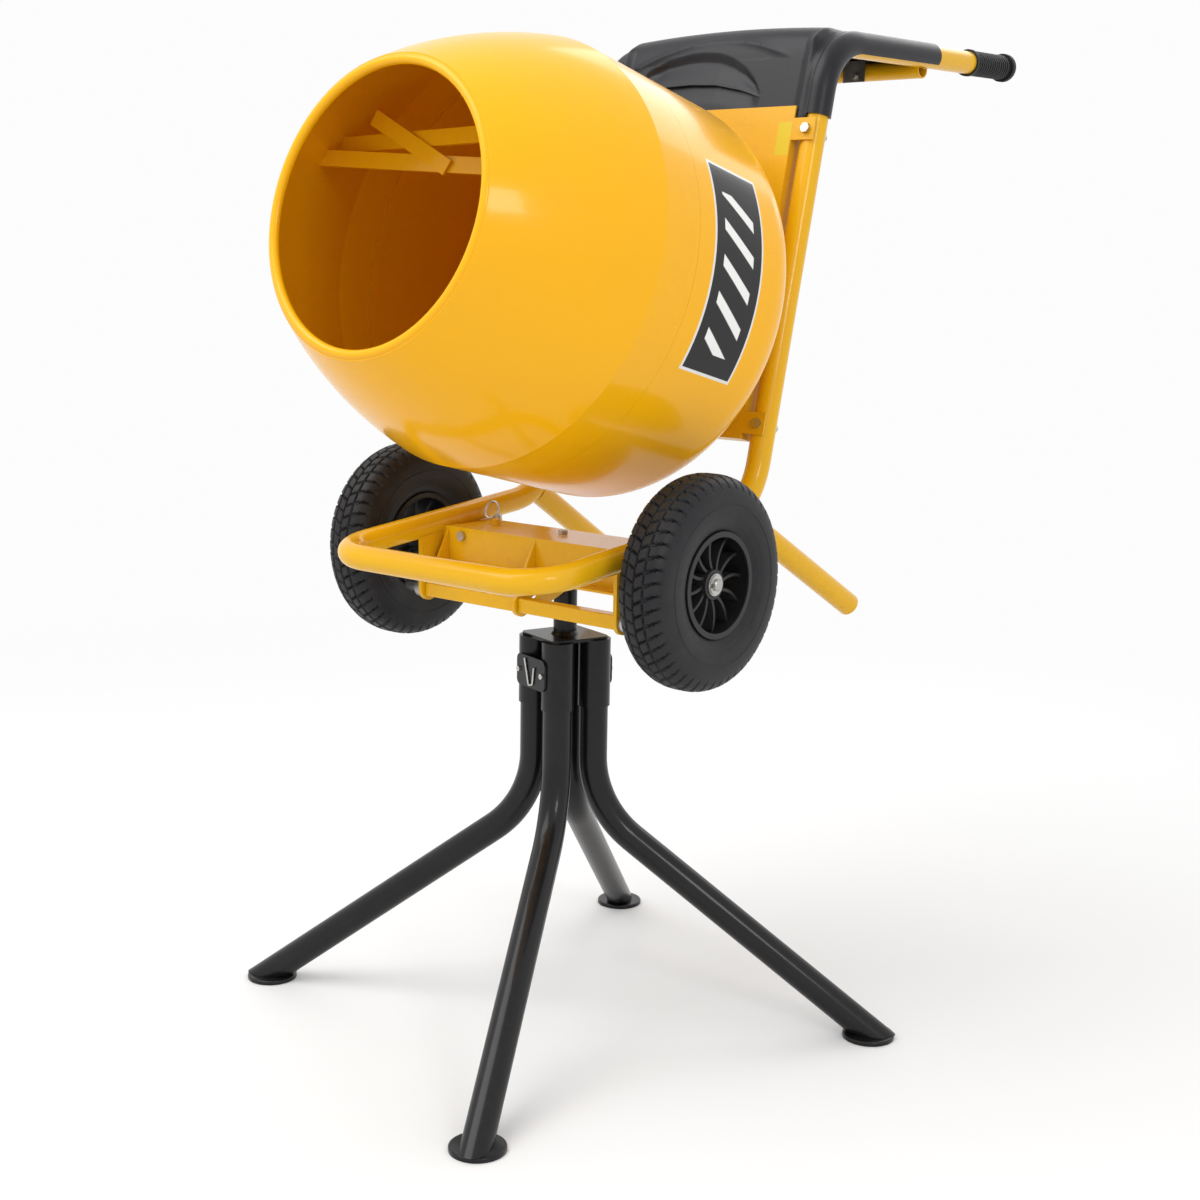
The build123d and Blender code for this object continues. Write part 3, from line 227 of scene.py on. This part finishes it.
# The tilt rod, the axle and the shafts are bright drawn bar with fine turning lines.
steel, tree, shader = new_material("steel")
coords = tree.nodes.new("ShaderNodeTexCoord").outputs["Object"]
lines = add(tree, "ShaderNodeMapping", Scale=(900.0, 40.0, 40.0))
tree.links.new(coords, lines.inputs["Vector"])
turning = add(tree, "ShaderNodeTexNoise", Scale=1.0, Detail=3.0)
tree.links.new(lines.outputs[0], turning.inputs["Vector"])
tone = mix_colour(tree, turning.outputs[0], (0.3, 0.29, 0.28, 1), (0.6, 0.59, 0.57, 1))
tree.links.new(tone, shader.inputs["Base Color"])
lined = math_node(tree, "MULTIPLY", turning.outputs[0], 0.3)
tree.links.new(math_node(tree, "ADD", lined, 0.18), shader.inputs["Roughness"])
shader.inputs["Metallic"].default_value = 1.0
dress(steel, "tilt_rod", "wheel_axle", "collars", "drum_shaft", "layshaft", "drum_gear", "motor_rotor",
      "gearbox_bearings")

# ---- Wheels: pneumatic tyres on black moulded centres with curved vanes, on one axle.
# The rubber is mould-dull with a whitish bloom; the tread is two staggered rows of blocks with side lugs.
moulding = bpy.data.node_groups.new("Moulded surface", "ShaderNodeTree")
for socket_name, kind, start in (("Colour", "NodeSocketColor", (0.05, 0.05, 0.05, 1)),
                                 ("Bloom", "NodeSocketColor", (0.2, 0.2, 0.2, 1)),
                                 ("Bloom Amount", "NodeSocketFloat", 0.3),
                                 ("Grain Size", "NodeSocketFloat", 500.0),
                                 ("Grain Depth", "NodeSocketFloat", 0.2),
                                 ("Roughness", "NodeSocketFloat", 0.6)):
    entry = moulding.interface.new_socket(name=socket_name, in_out="INPUT", socket_type=kind)
    entry.default_value = start
for socket_name, kind in (("Colour", "NodeSocketColor"), ("Roughness", "NodeSocketFloat"),
                          ("Height", "NodeSocketFloat"), ("Normal", "NodeSocketVector")):
    moulding.interface.new_socket(name=socket_name, in_out="OUTPUT", socket_type=kind)
t = moulding
mould_in = t.nodes.new("NodeGroupInput")
mould_out = t.nodes.new("NodeGroupOutput")
place = t.nodes.new("ShaderNodeTexCoord").outputs["Object"]
grain = add(t, "ShaderNodeTexVoronoi")
t.links.new(place, grain.inputs["Vector"])
t.links.new(mould_in.outputs["Grain Size"], grain.inputs["Scale"])
film = add(t, "ShaderNodeTexNoise", Scale=24.0, Detail=7.0, Roughness=0.65)
t.links.new(place, film.inputs["Vector"])
bloom = math_node(t, "MULTIPLY", ramp(t, film.outputs[0], 0.36, 0.72), mould_in.outputs["Bloom Amount"])
rub = ramp(t, t.nodes.new("ShaderNodeNewGeometry").outputs["Pointiness"], 0.52, 0.6)
bloom = math_node(t, "ADD", bloom, math_node(t, "MULTIPLY", rub, 0.25))
tone = mix_colour(t, bloom, mould_in.outputs["Colour"], mould_in.outputs["Bloom"])
t.links.new(tone, mould_out.inputs["Colour"])
cloudy = math_node(t, "MULTIPLY", film.outputs[0], 0.14)
t.links.new(math_node(t, "ADD", mould_in.outputs["Roughness"], cloudy), mould_out.inputs["Roughness"])
t.links.new(grain.outputs["Distance"], mould_out.inputs["Height"])
bump = add(t, "ShaderNodeBump", Distance=0.0005)
t.links.new(mould_in.outputs["Grain Depth"], bump.inputs["Strength"])
t.links.new(grain.outputs["Distance"], bump.inputs["Height"])
t.links.new(bump.outputs[0], mould_out.inputs["Normal"])


def moulded(name, colour, bloom, amount, roughness, grain=(500.0, 0.2)):
    """A moulded rubber or plastic material on the shared moulded surface."""
    material, tree, shader = new_material(name)
    skin = tree.nodes.new("ShaderNodeGroup")
    skin.node_tree = moulding
    for key, value in (("Colour", (*colour, 1)), ("Bloom", (*bloom, 1)), ("Bloom Amount", amount),
                       ("Roughness", roughness), ("Grain Size", grain[0]), ("Grain Depth", grain[1])):
        skin.inputs[key].default_value = value
    for key in ("Roughness", "Normal"):
        tree.links.new(skin.outputs[key], shader.inputs[key])
    tree.links.new(skin.outputs["Colour"], shader.inputs["Base Color"])
    shader.inputs["Specular IOR Level"].default_value = 0.3
    return material, tree, shader, skin


tyre_rubber = moulded("tyre_rubber", colour=(0.009, 0.009, 0.011), bloom=(0.06, 0.058, 0.056), amount=0.16,
                      roughness=0.42, grain=(700.0, 0.15))[0]
black_plastic = moulded("black_plastic", colour=(0.007, 0.007, 0.008), bloom=(0.05, 0.05, 0.05), amount=0.12,
                        roughness=0.32, grain=(600.0, 0.12))[0]
dress(black_plastic, "wheel_hub_right", "wheel_hub_left", "switch_box", "switch_block", "power_inlet",
      "big_pulley", "motor_pulley")


def mesh_object(name, points, faces, material):
    """A named mesh piece, smooth-shaded, linked into the scene."""
    mesh = bpy.data.meshes.new(name)
    mesh.from_pydata(points, [], faces)
    mesh.materials.append(material)
    piece = bpy.data.objects.new(name, mesh)
    scene.collection.objects.link(piece)
    smooth(mesh)
    return piece


# Half of a tyre's outer section, from the rim's seat to the crown: distance from the middle plane, radius.
tyre_profile = [(-0.0285, 0.0716), (-0.0325, 0.078), (-0.0345, 0.082), (-0.0352, 0.0835),
                (-0.0352, 0.086), (-0.0362, 0.088), (-0.0372, 0.094), (-0.0378, 0.1005),
                (-0.0379, 0.1045), (-0.0371, 0.1055), (-0.037, 0.108), (-0.0377, 0.109),
                (-0.0373, 0.115), (-0.0362, 0.1215), (-0.0345, 0.1275), (-0.032, 0.1325),
                (-0.0285, 0.137), (-0.024, 0.1405), (-0.0185, 0.143), (-0.012, 0.1446), (-0.006, 0.145),
                (0, 0.145)]
wheel_x, axle_y, axle_z = 0.274, -0.043, 0.686
tread_count = 50                # blocks round the tyre
steps_per_block = 9
tread_pitch = 2 * pi / tread_count
groove_depth = 0.0034
tread_edge = 0.0345             # the outer lugs end this far from the middle plane
shoulder_radius = 0.1275        # the lugs start outside this radius


def tread_depth(across, angle):
    """How deep the tread is cut at a place on the tyre, from 0 on a block to 1 in a groove."""
    distance = abs(across)
    turn = angle + (tread_pitch / 2 if across > 0 else 0) + distance * 3.0
    share = (turn / tread_pitch) % 1.0
    ring = 0.0145 if share < 0.5 else 0.0133
    if distance < 0.0006 or abs(distance - ring) < 0.0011:
        return 1.0
    if distance > tread_edge:
        return 0.0
    return 1.0 if share < 0.17 else 0.0


def make_tyre(side_name, middle_x):
    """One tyre: its section turned round the axle, with the tread cut between blocks."""
    half = tyre_profile[:-1]
    fine = []
    for first, second in zip(half, half[1:] + [tyre_profile[-1]]):
        steps = 3 if first[1] > 0.1425 else 2 if first[1] > 0.128 else 1
        for step in range(steps):
            share = step / steps
            fine.append(tuple(start + (end - start) * share for start, end in zip(first, second)))
    section = fine + [tyre_profile[-1]] + [(-x, r) for x, r in fine[::-1]]
    around = tread_count * steps_per_block
    points = []
    for turn in range(around):
        angle = 2 * pi * turn / around
        for across, radius in section:
            cut = groove_depth * tread_depth(across, angle) if radius > shoulder_radius else 0.0
            pull = cut * (1.0 if radius > 0.136 else 0.6)
            side = across - (cut * 0.5 if across > 0 else -cut * 0.5) * (radius < 0.14)
            reach = radius - pull
            points.append((middle_x + side, axle_y + reach * cos(angle), axle_z + reach * sin(angle)))
    count = len(section)
    faces = []
    for turn in range(around):
        following = (turn + 1) % around
        for step in range(count):
            after = (step + 1) % count
            near, far = turn * count, following * count
            faces.append((near + step, near + after, far + after, far + step))
    tyre = mesh_object("tyre_" + side_name + "_tread", points, faces, tyre_rubber)
    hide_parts("tyre_" + side_name)
    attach(tyre, "wheel_" + side_name)


make_tyre("right", wheel_x)
make_tyre("left", -wheel_x)

# ---- Drum: two spun steel halves lapped at the seam, a rolled mouth, and three welded bars inside.
# Gloss yellow inside and out, with a black and white striped band on the near side of the rear half.
mouth_y, mouth_z = -0.374, 1.1635      # middle of the drum's mouth, where its axis starts
lean = 13.5                            # slope of the drum's axis and lean of the uprights


def drive_place(tree):
    """Where a point lies beside, along and above the drum's axis, as three sockets."""
    shift = add(tree, "ShaderNodeMapping", vector_type="POINT", Location=(0.0, -mouth_y, -mouth_z))
    tree.links.new(tree.nodes.new("ShaderNodeTexCoord").outputs["Object"], shift.inputs["Vector"])
    turned = add(tree, "ShaderNodeMapping", vector_type="POINT", Rotation=(radians(lean), 0.0, 0.0))
    tree.links.new(shift.outputs[0], turned.inputs["Vector"])
    spot = tree.nodes.new("ShaderNodeSeparateXYZ")
    tree.links.new(turned.outputs[0], spot.inputs[0])
    return spot.outputs


def band_mask(tree, value, low, high, soft):
    """1 between low and high, 0 outside, with soft edges."""
    rise = ramp(tree, value, low - soft, low + soft)
    fall = ramp(tree, value, high - soft, high + soft)
    return math_node(tree, "SUBTRACT", rise, fall)


drum_yellow, tree, shader, film = painted("drum_yellow", colour=(0.86, 0.42, 0.003), primer=(0.3, 0.2, 0.08),
                                          roughness=0.2, peel=(170.0, 0.1), wear=0.04, dust=0.01, coat=0.16)
across, along, upward = drive_place(tree)
angle = math_node(tree, "ARCTAN2", upward, across)
band = math_node(tree, "MULTIPLY", band_mask(tree, along, 0.322, 0.432, 0.0004),
                 band_mask(tree, angle, radians(-25), radians(30.8), 0.0015))
round_share = math_node(tree, "MULTIPLY", angle, 0.29)      # the drum's radius turns the angle into a length
slant = math_node(tree, "ADD", round_share, math_node(tree, "MULTIPLY", along, 0.55))
repeat = math_node(tree, "FRACT", math_node(tree, "MULTIPLY", slant, 21.0))
stripe = math_node(tree, "MULTIPLY", band_mask(tree, repeat, 0.3, 0.62, 0.02),
                   band_mask(tree, along, 0.344, 0.41, 0.0004))
stripe = math_node(tree, "MULTIPLY", stripe, band_mask(tree, angle, radians(-19), radians(22.6), 0.0015))
edge_line = math_node(tree, "MULTIPLY", band_mask(tree, along, 0.326, 0.4285, 0.0004),
                      band_mask(tree, angle, radians(-24.2), radians(30), 0.0015))
radius = math_node(tree, "SQRT", math_node(tree, "ADD", math_node(tree, "MULTIPLY", across, across),
                                           math_node(tree, "MULTIPLY", upward, upward)))
outside = ramp(tree, radius, 0.2895, 0.2905)
label = mix_colour(tree, stripe, (0.012, 0.012, 0.013, 1), (0.78, 0.78, 0.76, 1))
label = mix_colour(tree, edge_line, (0.7, 0.7, 0.68, 1), label)
band = math_node(tree, "MULTIPLY", band, outside)
tree.links.new(mix_colour(tree, band, film.outputs["Colour"], label), shader.inputs["Base Color"])
dress(drum_yellow, "drum_front", "drum_rear", "back_disc", "paddle_lower", "paddle_upper", "paddle_cross")

# ---- Drive housing: a pressed plate between the uprights, with the motor, belt and gearbox behind it.
# The plate and the deep rear cover have a coarser orange-peel paint; a plain yellow label sits at its top.
housing_yellow, tree, shader, film = painted(
    "housing_yellow", colour=(0.7, 0.37, 0.004), primer=yellow_primer, roughness=0.3, peel=(120.0, 0.35),
    wear=0.05, dust=0.015, coat=0.15)
across, along, upward = drive_place(tree)
sticker = math_node(tree, "MULTIPLY", band_mask(tree, across, 0.1455, 0.168, 0.0004),
                    band_mask(tree, upward, 0.243, 0.2915, 0.0004))
front_only = math_node(tree, "LESS_THAN", along, 0.6145)
sticker = math_node(tree, "MULTIPLY", sticker, front_only)
tone = mix_colour(tree, sticker, film.outputs["Colour"], (0.62, 0.47, 0.01, 1))
tree.links.new(tone, shader.inputs["Base Color"])
dress(housing_yellow, "bulkhead", "rear_cover")

# The gearbox halves and the motor's casing are sand-cast alloy, grey and slightly pitted.
cast_alloy, tree, shader, skin = moulded(
    "cast_alloy", colour=(0.4, 0.4, 0.39), bloom=(0.55, 0.54, 0.52), amount=0.5, roughness=0.42,
    grain=(350.0, 0.4))
shader.inputs["Metallic"].default_value = 0.85
dress(cast_alloy, "gearbox_front", "gearbox_rear", "motor_casing")
windings = moulded("windings", (0.35, 0.1, 0.03), (0.5, 0.22, 0.08), 0.5, 0.35, (900.0, 0.5))[0]
dress(windings, "motor_stator")
black_rubber = moulded("black_rubber", (0.006, 0.006, 0.007), (0.04, 0.04, 0.04), 0.12, 0.5, (800.0, 0.2))[0]
dress(black_rubber, "grips", "buffer", "drive_belt")

# The two push buttons are gloss moulded plastic, green to start and red to stop.
green_plastic = moulded("green_plastic", (0.01, 0.25, 0.04), (0.05, 0.4, 0.1), 0.2, 0.25, (500.0, 0.05))[0]
dress(green_plastic, "start_button")
red_plastic = moulded("red_plastic", (0.5, 0.012, 0.01), (0.65, 0.08, 0.05), 0.2, 0.25, (500.0, 0.05))[0]
dress(red_plastic, "stop_button")

# ---- Hood: one charcoal moulding over the tops of the uprights and the handles.
# Satin plastic with a fine spark-eroded grain and a little pale handling dust.
hood_plastic = moulded("hood_plastic", (0.007, 0.007, 0.01), (0.05, 0.05, 0.055), 0.1, 0.3, (650.0, 0.15))[0]
hood_half = 0.178
hood_wall = 0.0035
hood_low, hood_rear = 1.311, 0.626     # height of the lower lip, Y of the rear face
handle_x = 0.194                       # from the middle to the middle of an upright
# The hood's middle section in Y and Z, from its lower lip over the shoulder to its rear edge.
hood_line = [(0.3, 1.311), (0.3062, 1.333), (0.3125, 1.3555), (0.3188, 1.378), (0.3245, 1.398),
             (0.3295, 1.414), (0.336, 1.428), (0.345, 1.4385), (0.357, 1.4455), (0.372, 1.449),
             (0.4, 1.4485), (0.45, 1.4462), (0.5, 1.4438), (0.55, 1.4413), (0.6, 1.4388),
             (0.617, 1.4375), (0.6235, 1.4345), (0.626, 1.428), (0.626, 1.3955)]


def along_line(line, count):
    """Evenly spaced points on a smooth curve through a list of points."""
    points = [Vector(p) for p in line]
    fine = []
    for index in range(len(points) - 1):
        before = points[max(index - 1, 0)]
        after = points[min(index + 2, len(points) - 1)]
        first, second = points[index], points[index + 1]
        for step in range(12):
            k = step / 12
            bend = 2 * before - 5 * first + 4 * second - after
            twist = 3 * first - before - 3 * second + after
            fine.append(0.5 * (2 * first + (second - before) * k + bend * k * k + twist * k ** 3))
    fine.append(points[-1])
    lengths = [0.0]
    for first, second in zip(fine, fine[1:]):
        lengths.append(lengths[-1] + (second - first).length)
    result = []
    spot = 0
    for step in range(count):
        target = lengths[-1] * step / (count - 1)
        while spot < len(lengths) - 2 and lengths[spot + 1] < target:
            spot += 1
        share = (target - lengths[spot]) / max(lengths[spot + 1] - lengths[spot], 1e-9)
        result.append(fine[spot].lerp(fine[spot + 1], min(max(share, 0), 1)))
    return result


def step_up(value, low, high):
    """A smooth rise from 0 to 1 between low and high."""
    share = min(max((value - low) / (high - low), 0.0), 1.0)
    return share * share * (3 - 2 * share)


def between(value, places):
    """Linear interpolation in a short table."""
    for (first, low), (second, high) in zip(places, places[1:]):
        if first <= value <= second:
            return low + (high - low) * (value - first) / (second - first)
    return places[0][1] if value < places[0][0] else places[-1][1]


# Upper arc and lower lip of the scoop on the hood's front: x, height.
scoop_top = [(-0.15, 1.362), (-0.122, 1.395), (-0.087, 1.41), (-0.045, 1.4165), (-0.023, 1.417),
             (0.01, 1.413), (0.037, 1.403), (0.06, 1.389), (0.081, 1.37), (0.098, 1.343)]
scoop_low = [(-0.15, 1.362), (-0.11, 1.365), (-0.072, 1.3665), (-0.038, 1.367), (0.01, 1.3645),
             (0.058, 1.355), (0.098, 1.343)]


def scoop(x, z):
    """Depth of the crescent scoop on the hood's front, which ends below in a crisp overhanging lip."""
    top, low = between(x, scoop_top), between(x, scoop_low)
    fade = step_up(top - low, 0.0, 0.03) * step_up(x, -0.15, -0.1)
    if z >= low:
        share = (top - z) / max(top - low, 0.004)
        return 0.006 * fade * step_up(share, 0.0, 0.3) * (1 - step_up(share, 0.3, 1.0))
    return 0.0055 * fade * (1 - step_up(low - z, 0.0, 0.028))


def sleeve_path():
    """Middle line of a sleeve in Y and Z, with its direction: up the upright, round and along the handle."""
    slope, bend = radians(1.39), 0.09
    corner = Vector((0.3383, 1.417))
    rise = Vector((sin(radians(lean)), cos(radians(lean))))
    level = Vector((cos(slope), sin(slope)))
    turn = atan2(rise[1], rise[0]) - atan2(level[1], level[0])
    reach = bend * (sin(turn / 2) / cos(turn / 2))
    start = corner - rise * reach
    middle = start + Vector((rise[1], -rise[0])) * bend
    path, runs = [], []
    first = start - rise * ((start[1] - hood_low) / rise[1])
    for step in range(30):
        path.append(first.lerp(start, step / 30))
        runs.append(rise)
    for step in range(25):
        angle = atan2(rise[1], rise[0]) - turn * step / 24
        path.append(middle + Vector((-sin(angle), cos(angle))) * bend)
        runs.append(Vector((cos(angle), sin(angle))))
    last = path[-1]
    end = last + level * ((hood_rear - last[0]) / level[0])
    for step in range(1, 61):
        path.append(last.lerp(end, step / 60))
        runs.append(level)
    return path, runs


def hood_point(x, place, normal, depth):
    """One point of the hood's skin, with its dome, scoop, shoulder ridge, hump and edge fillets."""
    y, z = place
    share = abs(x) / hood_half
    z_fall = 0.007 * share ** 2
    front = 1 - step_up(z, 1.425, 1.444)
    ridge_z = 1.43 - 0.012 * ((x - 0.01) / 0.1) ** 2 if x < 0.01 else 1.43 - 0.03 * ((x - 0.01) / 0.14) ** 1.6
    ridge = 0.0022 * max(0.0, 1 - abs(z - ridge_z) / 0.011) ** 2 * front * (1 - step_up(x, 0.1, 0.15))
    swell = 0.007 * step_up(abs(x), 0.158, 0.178) * front
    hump = 0.0055 * step_up(x, 0.05, 0.072) * (1 - step_up(x, 0.118, 0.14))
    hump *= step_up(y, 0.405, 0.428) * (1 - step_up(y, 0.475, 0.5)) * (1 - front)
    push = ridge + swell - scoop(x, z) * front - depth
    y, z = y + normal[0] * push, z + normal[1] * push - z_fall * (1 if z > 1.4 else 0.3) + hump
    if place[0] > hood_rear - 0.026:
        return (max(min(x, hood_half), -hood_half), y, z)
    join = step_up(abs(x), 0.171, wing)
    middle = min(sleeve_middles, key=lambda spot: (spot[0] - y) ** 2 + (spot[1] - z) ** 2)
    away = Vector((y - middle[0], z - middle[1]))
    reach = wing_radius - depth
    if abs(x) <= 0.18:
        reach = sqrt(max(wing_radius ** 2 - (handle_x - abs(x)) ** 2, 0)) - depth
    level = middle + away.normalized() * reach
    return (x, y + (level[0] - y) * join, z + (level[1] - z) * join)


def column_rows(line, x):
    """Places along the hood's line for one column, laid so that two rows follow the scoop's lip."""
    low = next(i for i, place in enumerate(line) if place[1] >= between(x, scoop_low))
    high = next(i for i, place in enumerate(line) if place[1] >= 1.4255)
    last = len(line) - 1
    rows = [round(low * step / 20) for step in range(20)] + [low - 1]
    rows += [round(low + (high - low) * step / 40) for step in range(40)]
    return rows + [round(high + (last - high) * step / 90) for step in range(91)]


wing = 0.19                            # the skin runs on this far, onto the sleeves
wing_radius = 0.0207
sleeve_radii = (0.0208, 0.0178)
sleeve_reach = 128                     # degrees that a sleeve wraps each way round its tube
sleeve_middles = sleeve_path()[0]


def add_sleeve(side, points, faces):
    """Add one open sleeve: two skins swept along the handle, joined at the ends and the open edges."""
    base = len(points)
    path, runs = sleeve_path()
    arc = 40
    for middle, run in zip(path, runs):
        inward = Vector((0, -run[1], run[0])) * -1
        for radius in sleeve_radii:
            for step in range(arc):
                angle = radians(-sleeve_reach + 2 * sleeve_reach * step / (arc - 1))
                offset = Vector((sin(angle) * radius, 0, 0)) - inward * (cos(angle) * radius)
                points.append((side * (handle_x + offset[0]), middle[0] + offset[1], middle[1] + offset[2]))
    ringful = 2 * arc
    for index in range(len(path) - 1):
        for step in range(arc - 1):
            for start, flip in ((0, False), (arc, True)):
                first = base + index * ringful + start + step
                quad = (first, first + 1, first + ringful + 1, first + ringful)
                faces.append(quad[::-1] if flip else quad)
        for step in (0, arc - 1):
            first = base + index * ringful + step
            faces.append((first, first + ringful, first + ringful + arc, first + arc))
    for index in (0, len(path) - 1):
        for step in range(arc - 1):
            first = base + index * ringful + step
            faces.append((first, first + 1, first + arc + 1, first + arc))


def make_hood():
    """The hood: a thick domed skin between the handles and an open sleeve over each tube."""
    line = along_line(hood_line, 1500)
    normals = []
    for index in range(len(line)):
        run = line[min(index + 1, len(line) - 1)] - line[max(index - 1, 0)]
        run.normalize()
        normals.append((-run[1], run[0]))
    columns = [-wing + 2 * wing * step / 190 for step in range(191)]
    points = []
    for depth in (0.0, hood_wall):
        for x in columns:
            for index in column_rows(line, x):
                points.append(hood_point(x, line[index], normals[index], depth))
    rows, wide = len(column_rows(line, 0.0)), len(columns)
    layer = rows * wide
    faces = []
    for column in range(wide - 1):
        for row in range(rows - 1):
            first = column * rows + row
            faces.append((first, first + rows, first + rows + 1, first + 1))
            faces.append((layer + first, layer + first + 1, layer + first + rows + 1, layer + first + rows))
    for column in range(wide - 1):
        for row in (0, rows - 1):
            first = column * rows + row
            faces.append((first, first + rows, layer + first + rows, layer + first))
    for side in (-1, 1):
        add_sleeve(side, points, faces)
    hood = mesh_object("hood_moulding", points, faces, hood_plastic)
    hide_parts("hood")
    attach(hood, "frame")


make_hood()

# ---- Studio: a plain pale floor that brightens away from the mixer, three soft lamps, and the camera.
floor_material, tree, shader = new_material("studio_floor")
floor_noise = add(tree, "ShaderNodeTexNoise", Scale=4.0, Detail=4.0)
uneven = math_node(tree, "MULTIPLY", floor_noise.outputs[0], 0.1)
tone = mix_colour(tree, uneven, (0.74, 0.74, 0.74, 1), (0.7, 0.7, 0.7, 1))
tree.links.new(tone, shader.inputs["Base Color"])
away = add(tree, "ShaderNodeVectorMath", operation="LENGTH")
tree.links.new(tree.nodes.new("ShaderNodeTexCoord").outputs["Object"], away.inputs[0])
glow = add(tree, "ShaderNodeEmission", Strength=0.98)
fade = tree.nodes.new("ShaderNodeMixShader")
tree.links.new(ramp(tree, away.outputs["Value"], 0.6, 3.4), fade.inputs[0])
tree.links.new(shader.outputs[0], fade.inputs[1])
tree.links.new(glow.outputs[0], fade.inputs[2])
tree.links.new(fade.outputs[0], tree.nodes["Material Output"].inputs["Surface"])
shader.inputs["Roughness"].default_value = 0.7
floor_mesh = bpy.data.meshes.new("studio_floor")
half, level = 30, -0.0005
corners = [(-half, -half, level), (half, -half, level), (half, half, level), (-half, half, level)]
floor_mesh.from_pydata(corners, [], [(0, 1, 2, 3)])
floor_mesh.materials.append(floor_material)
floor = bpy.data.objects.new("studio_floor", floor_mesh)
scene.collection.objects.link(floor)

world = bpy.data.worlds.new("studio")
world.use_nodes = True
world.node_tree.nodes["Background"].inputs["Color"].default_value = (1.0, 1.0, 1.0, 1)
world.node_tree.nodes["Background"].inputs["Strength"].default_value = 0.98
scene.world = world


def lamp(name, place, aim, size, power):
    """A square soft lamp aimed at a point."""
    data = bpy.data.lights.new(name, "AREA")
    data.size = size
    data.energy = power
    holder = bpy.data.objects.new(name, data)
    holder.location = place
    holder.rotation_euler = (Vector(aim) - Vector(place)).to_track_quat("-Z", "Y").to_euler()
    scene.collection.objects.link(holder)


lamp("lamp_key", (-1.2, -2.0, 4.2), (0, 0, 0.9), 3.2, 110)
lamp("lamp_side", (3.4, -1.4, 2.4), (0, 0, 1.0), 0.9, 22)
lamp("lamp_back", (-0.5, 3.2, 3.0), (0, 0, 1.1), 2.4, 30)

pan, tip, roll, heading = radians(1.129), radians(-10.545), radians(0.967), radians(40.924)
ahead = Vector((-sin(heading), cos(heading), 0))
right = Vector((cos(heading), sin(heading), 0))
up = Vector((0, 0, 1))
ahead, right = ahead * cos(pan) + right * sin(pan), right * cos(pan) - ahead * sin(pan)
ahead, up = ahead * cos(tip) + up * sin(tip), up * cos(tip) - ahead * sin(tip)
right, up = right * cos(roll) + up * sin(roll), up * cos(roll) - right * sin(roll)
camera_data = bpy.data.cameras.new("camera")
camera_data.lens = 53.49
camera_data.sensor_width = 36
camera = bpy.data.objects.new("camera", camera_data)
turn = Matrix((right, up, -ahead)).transposed().to_4x4()
camera.matrix_world = Matrix.Translation((1.6578, -1.9122, 1.0926)) @ turn
scene.collection.objects.link(camera)
scene.camera = camera
scene.view_settings.view_transform = "Standard"
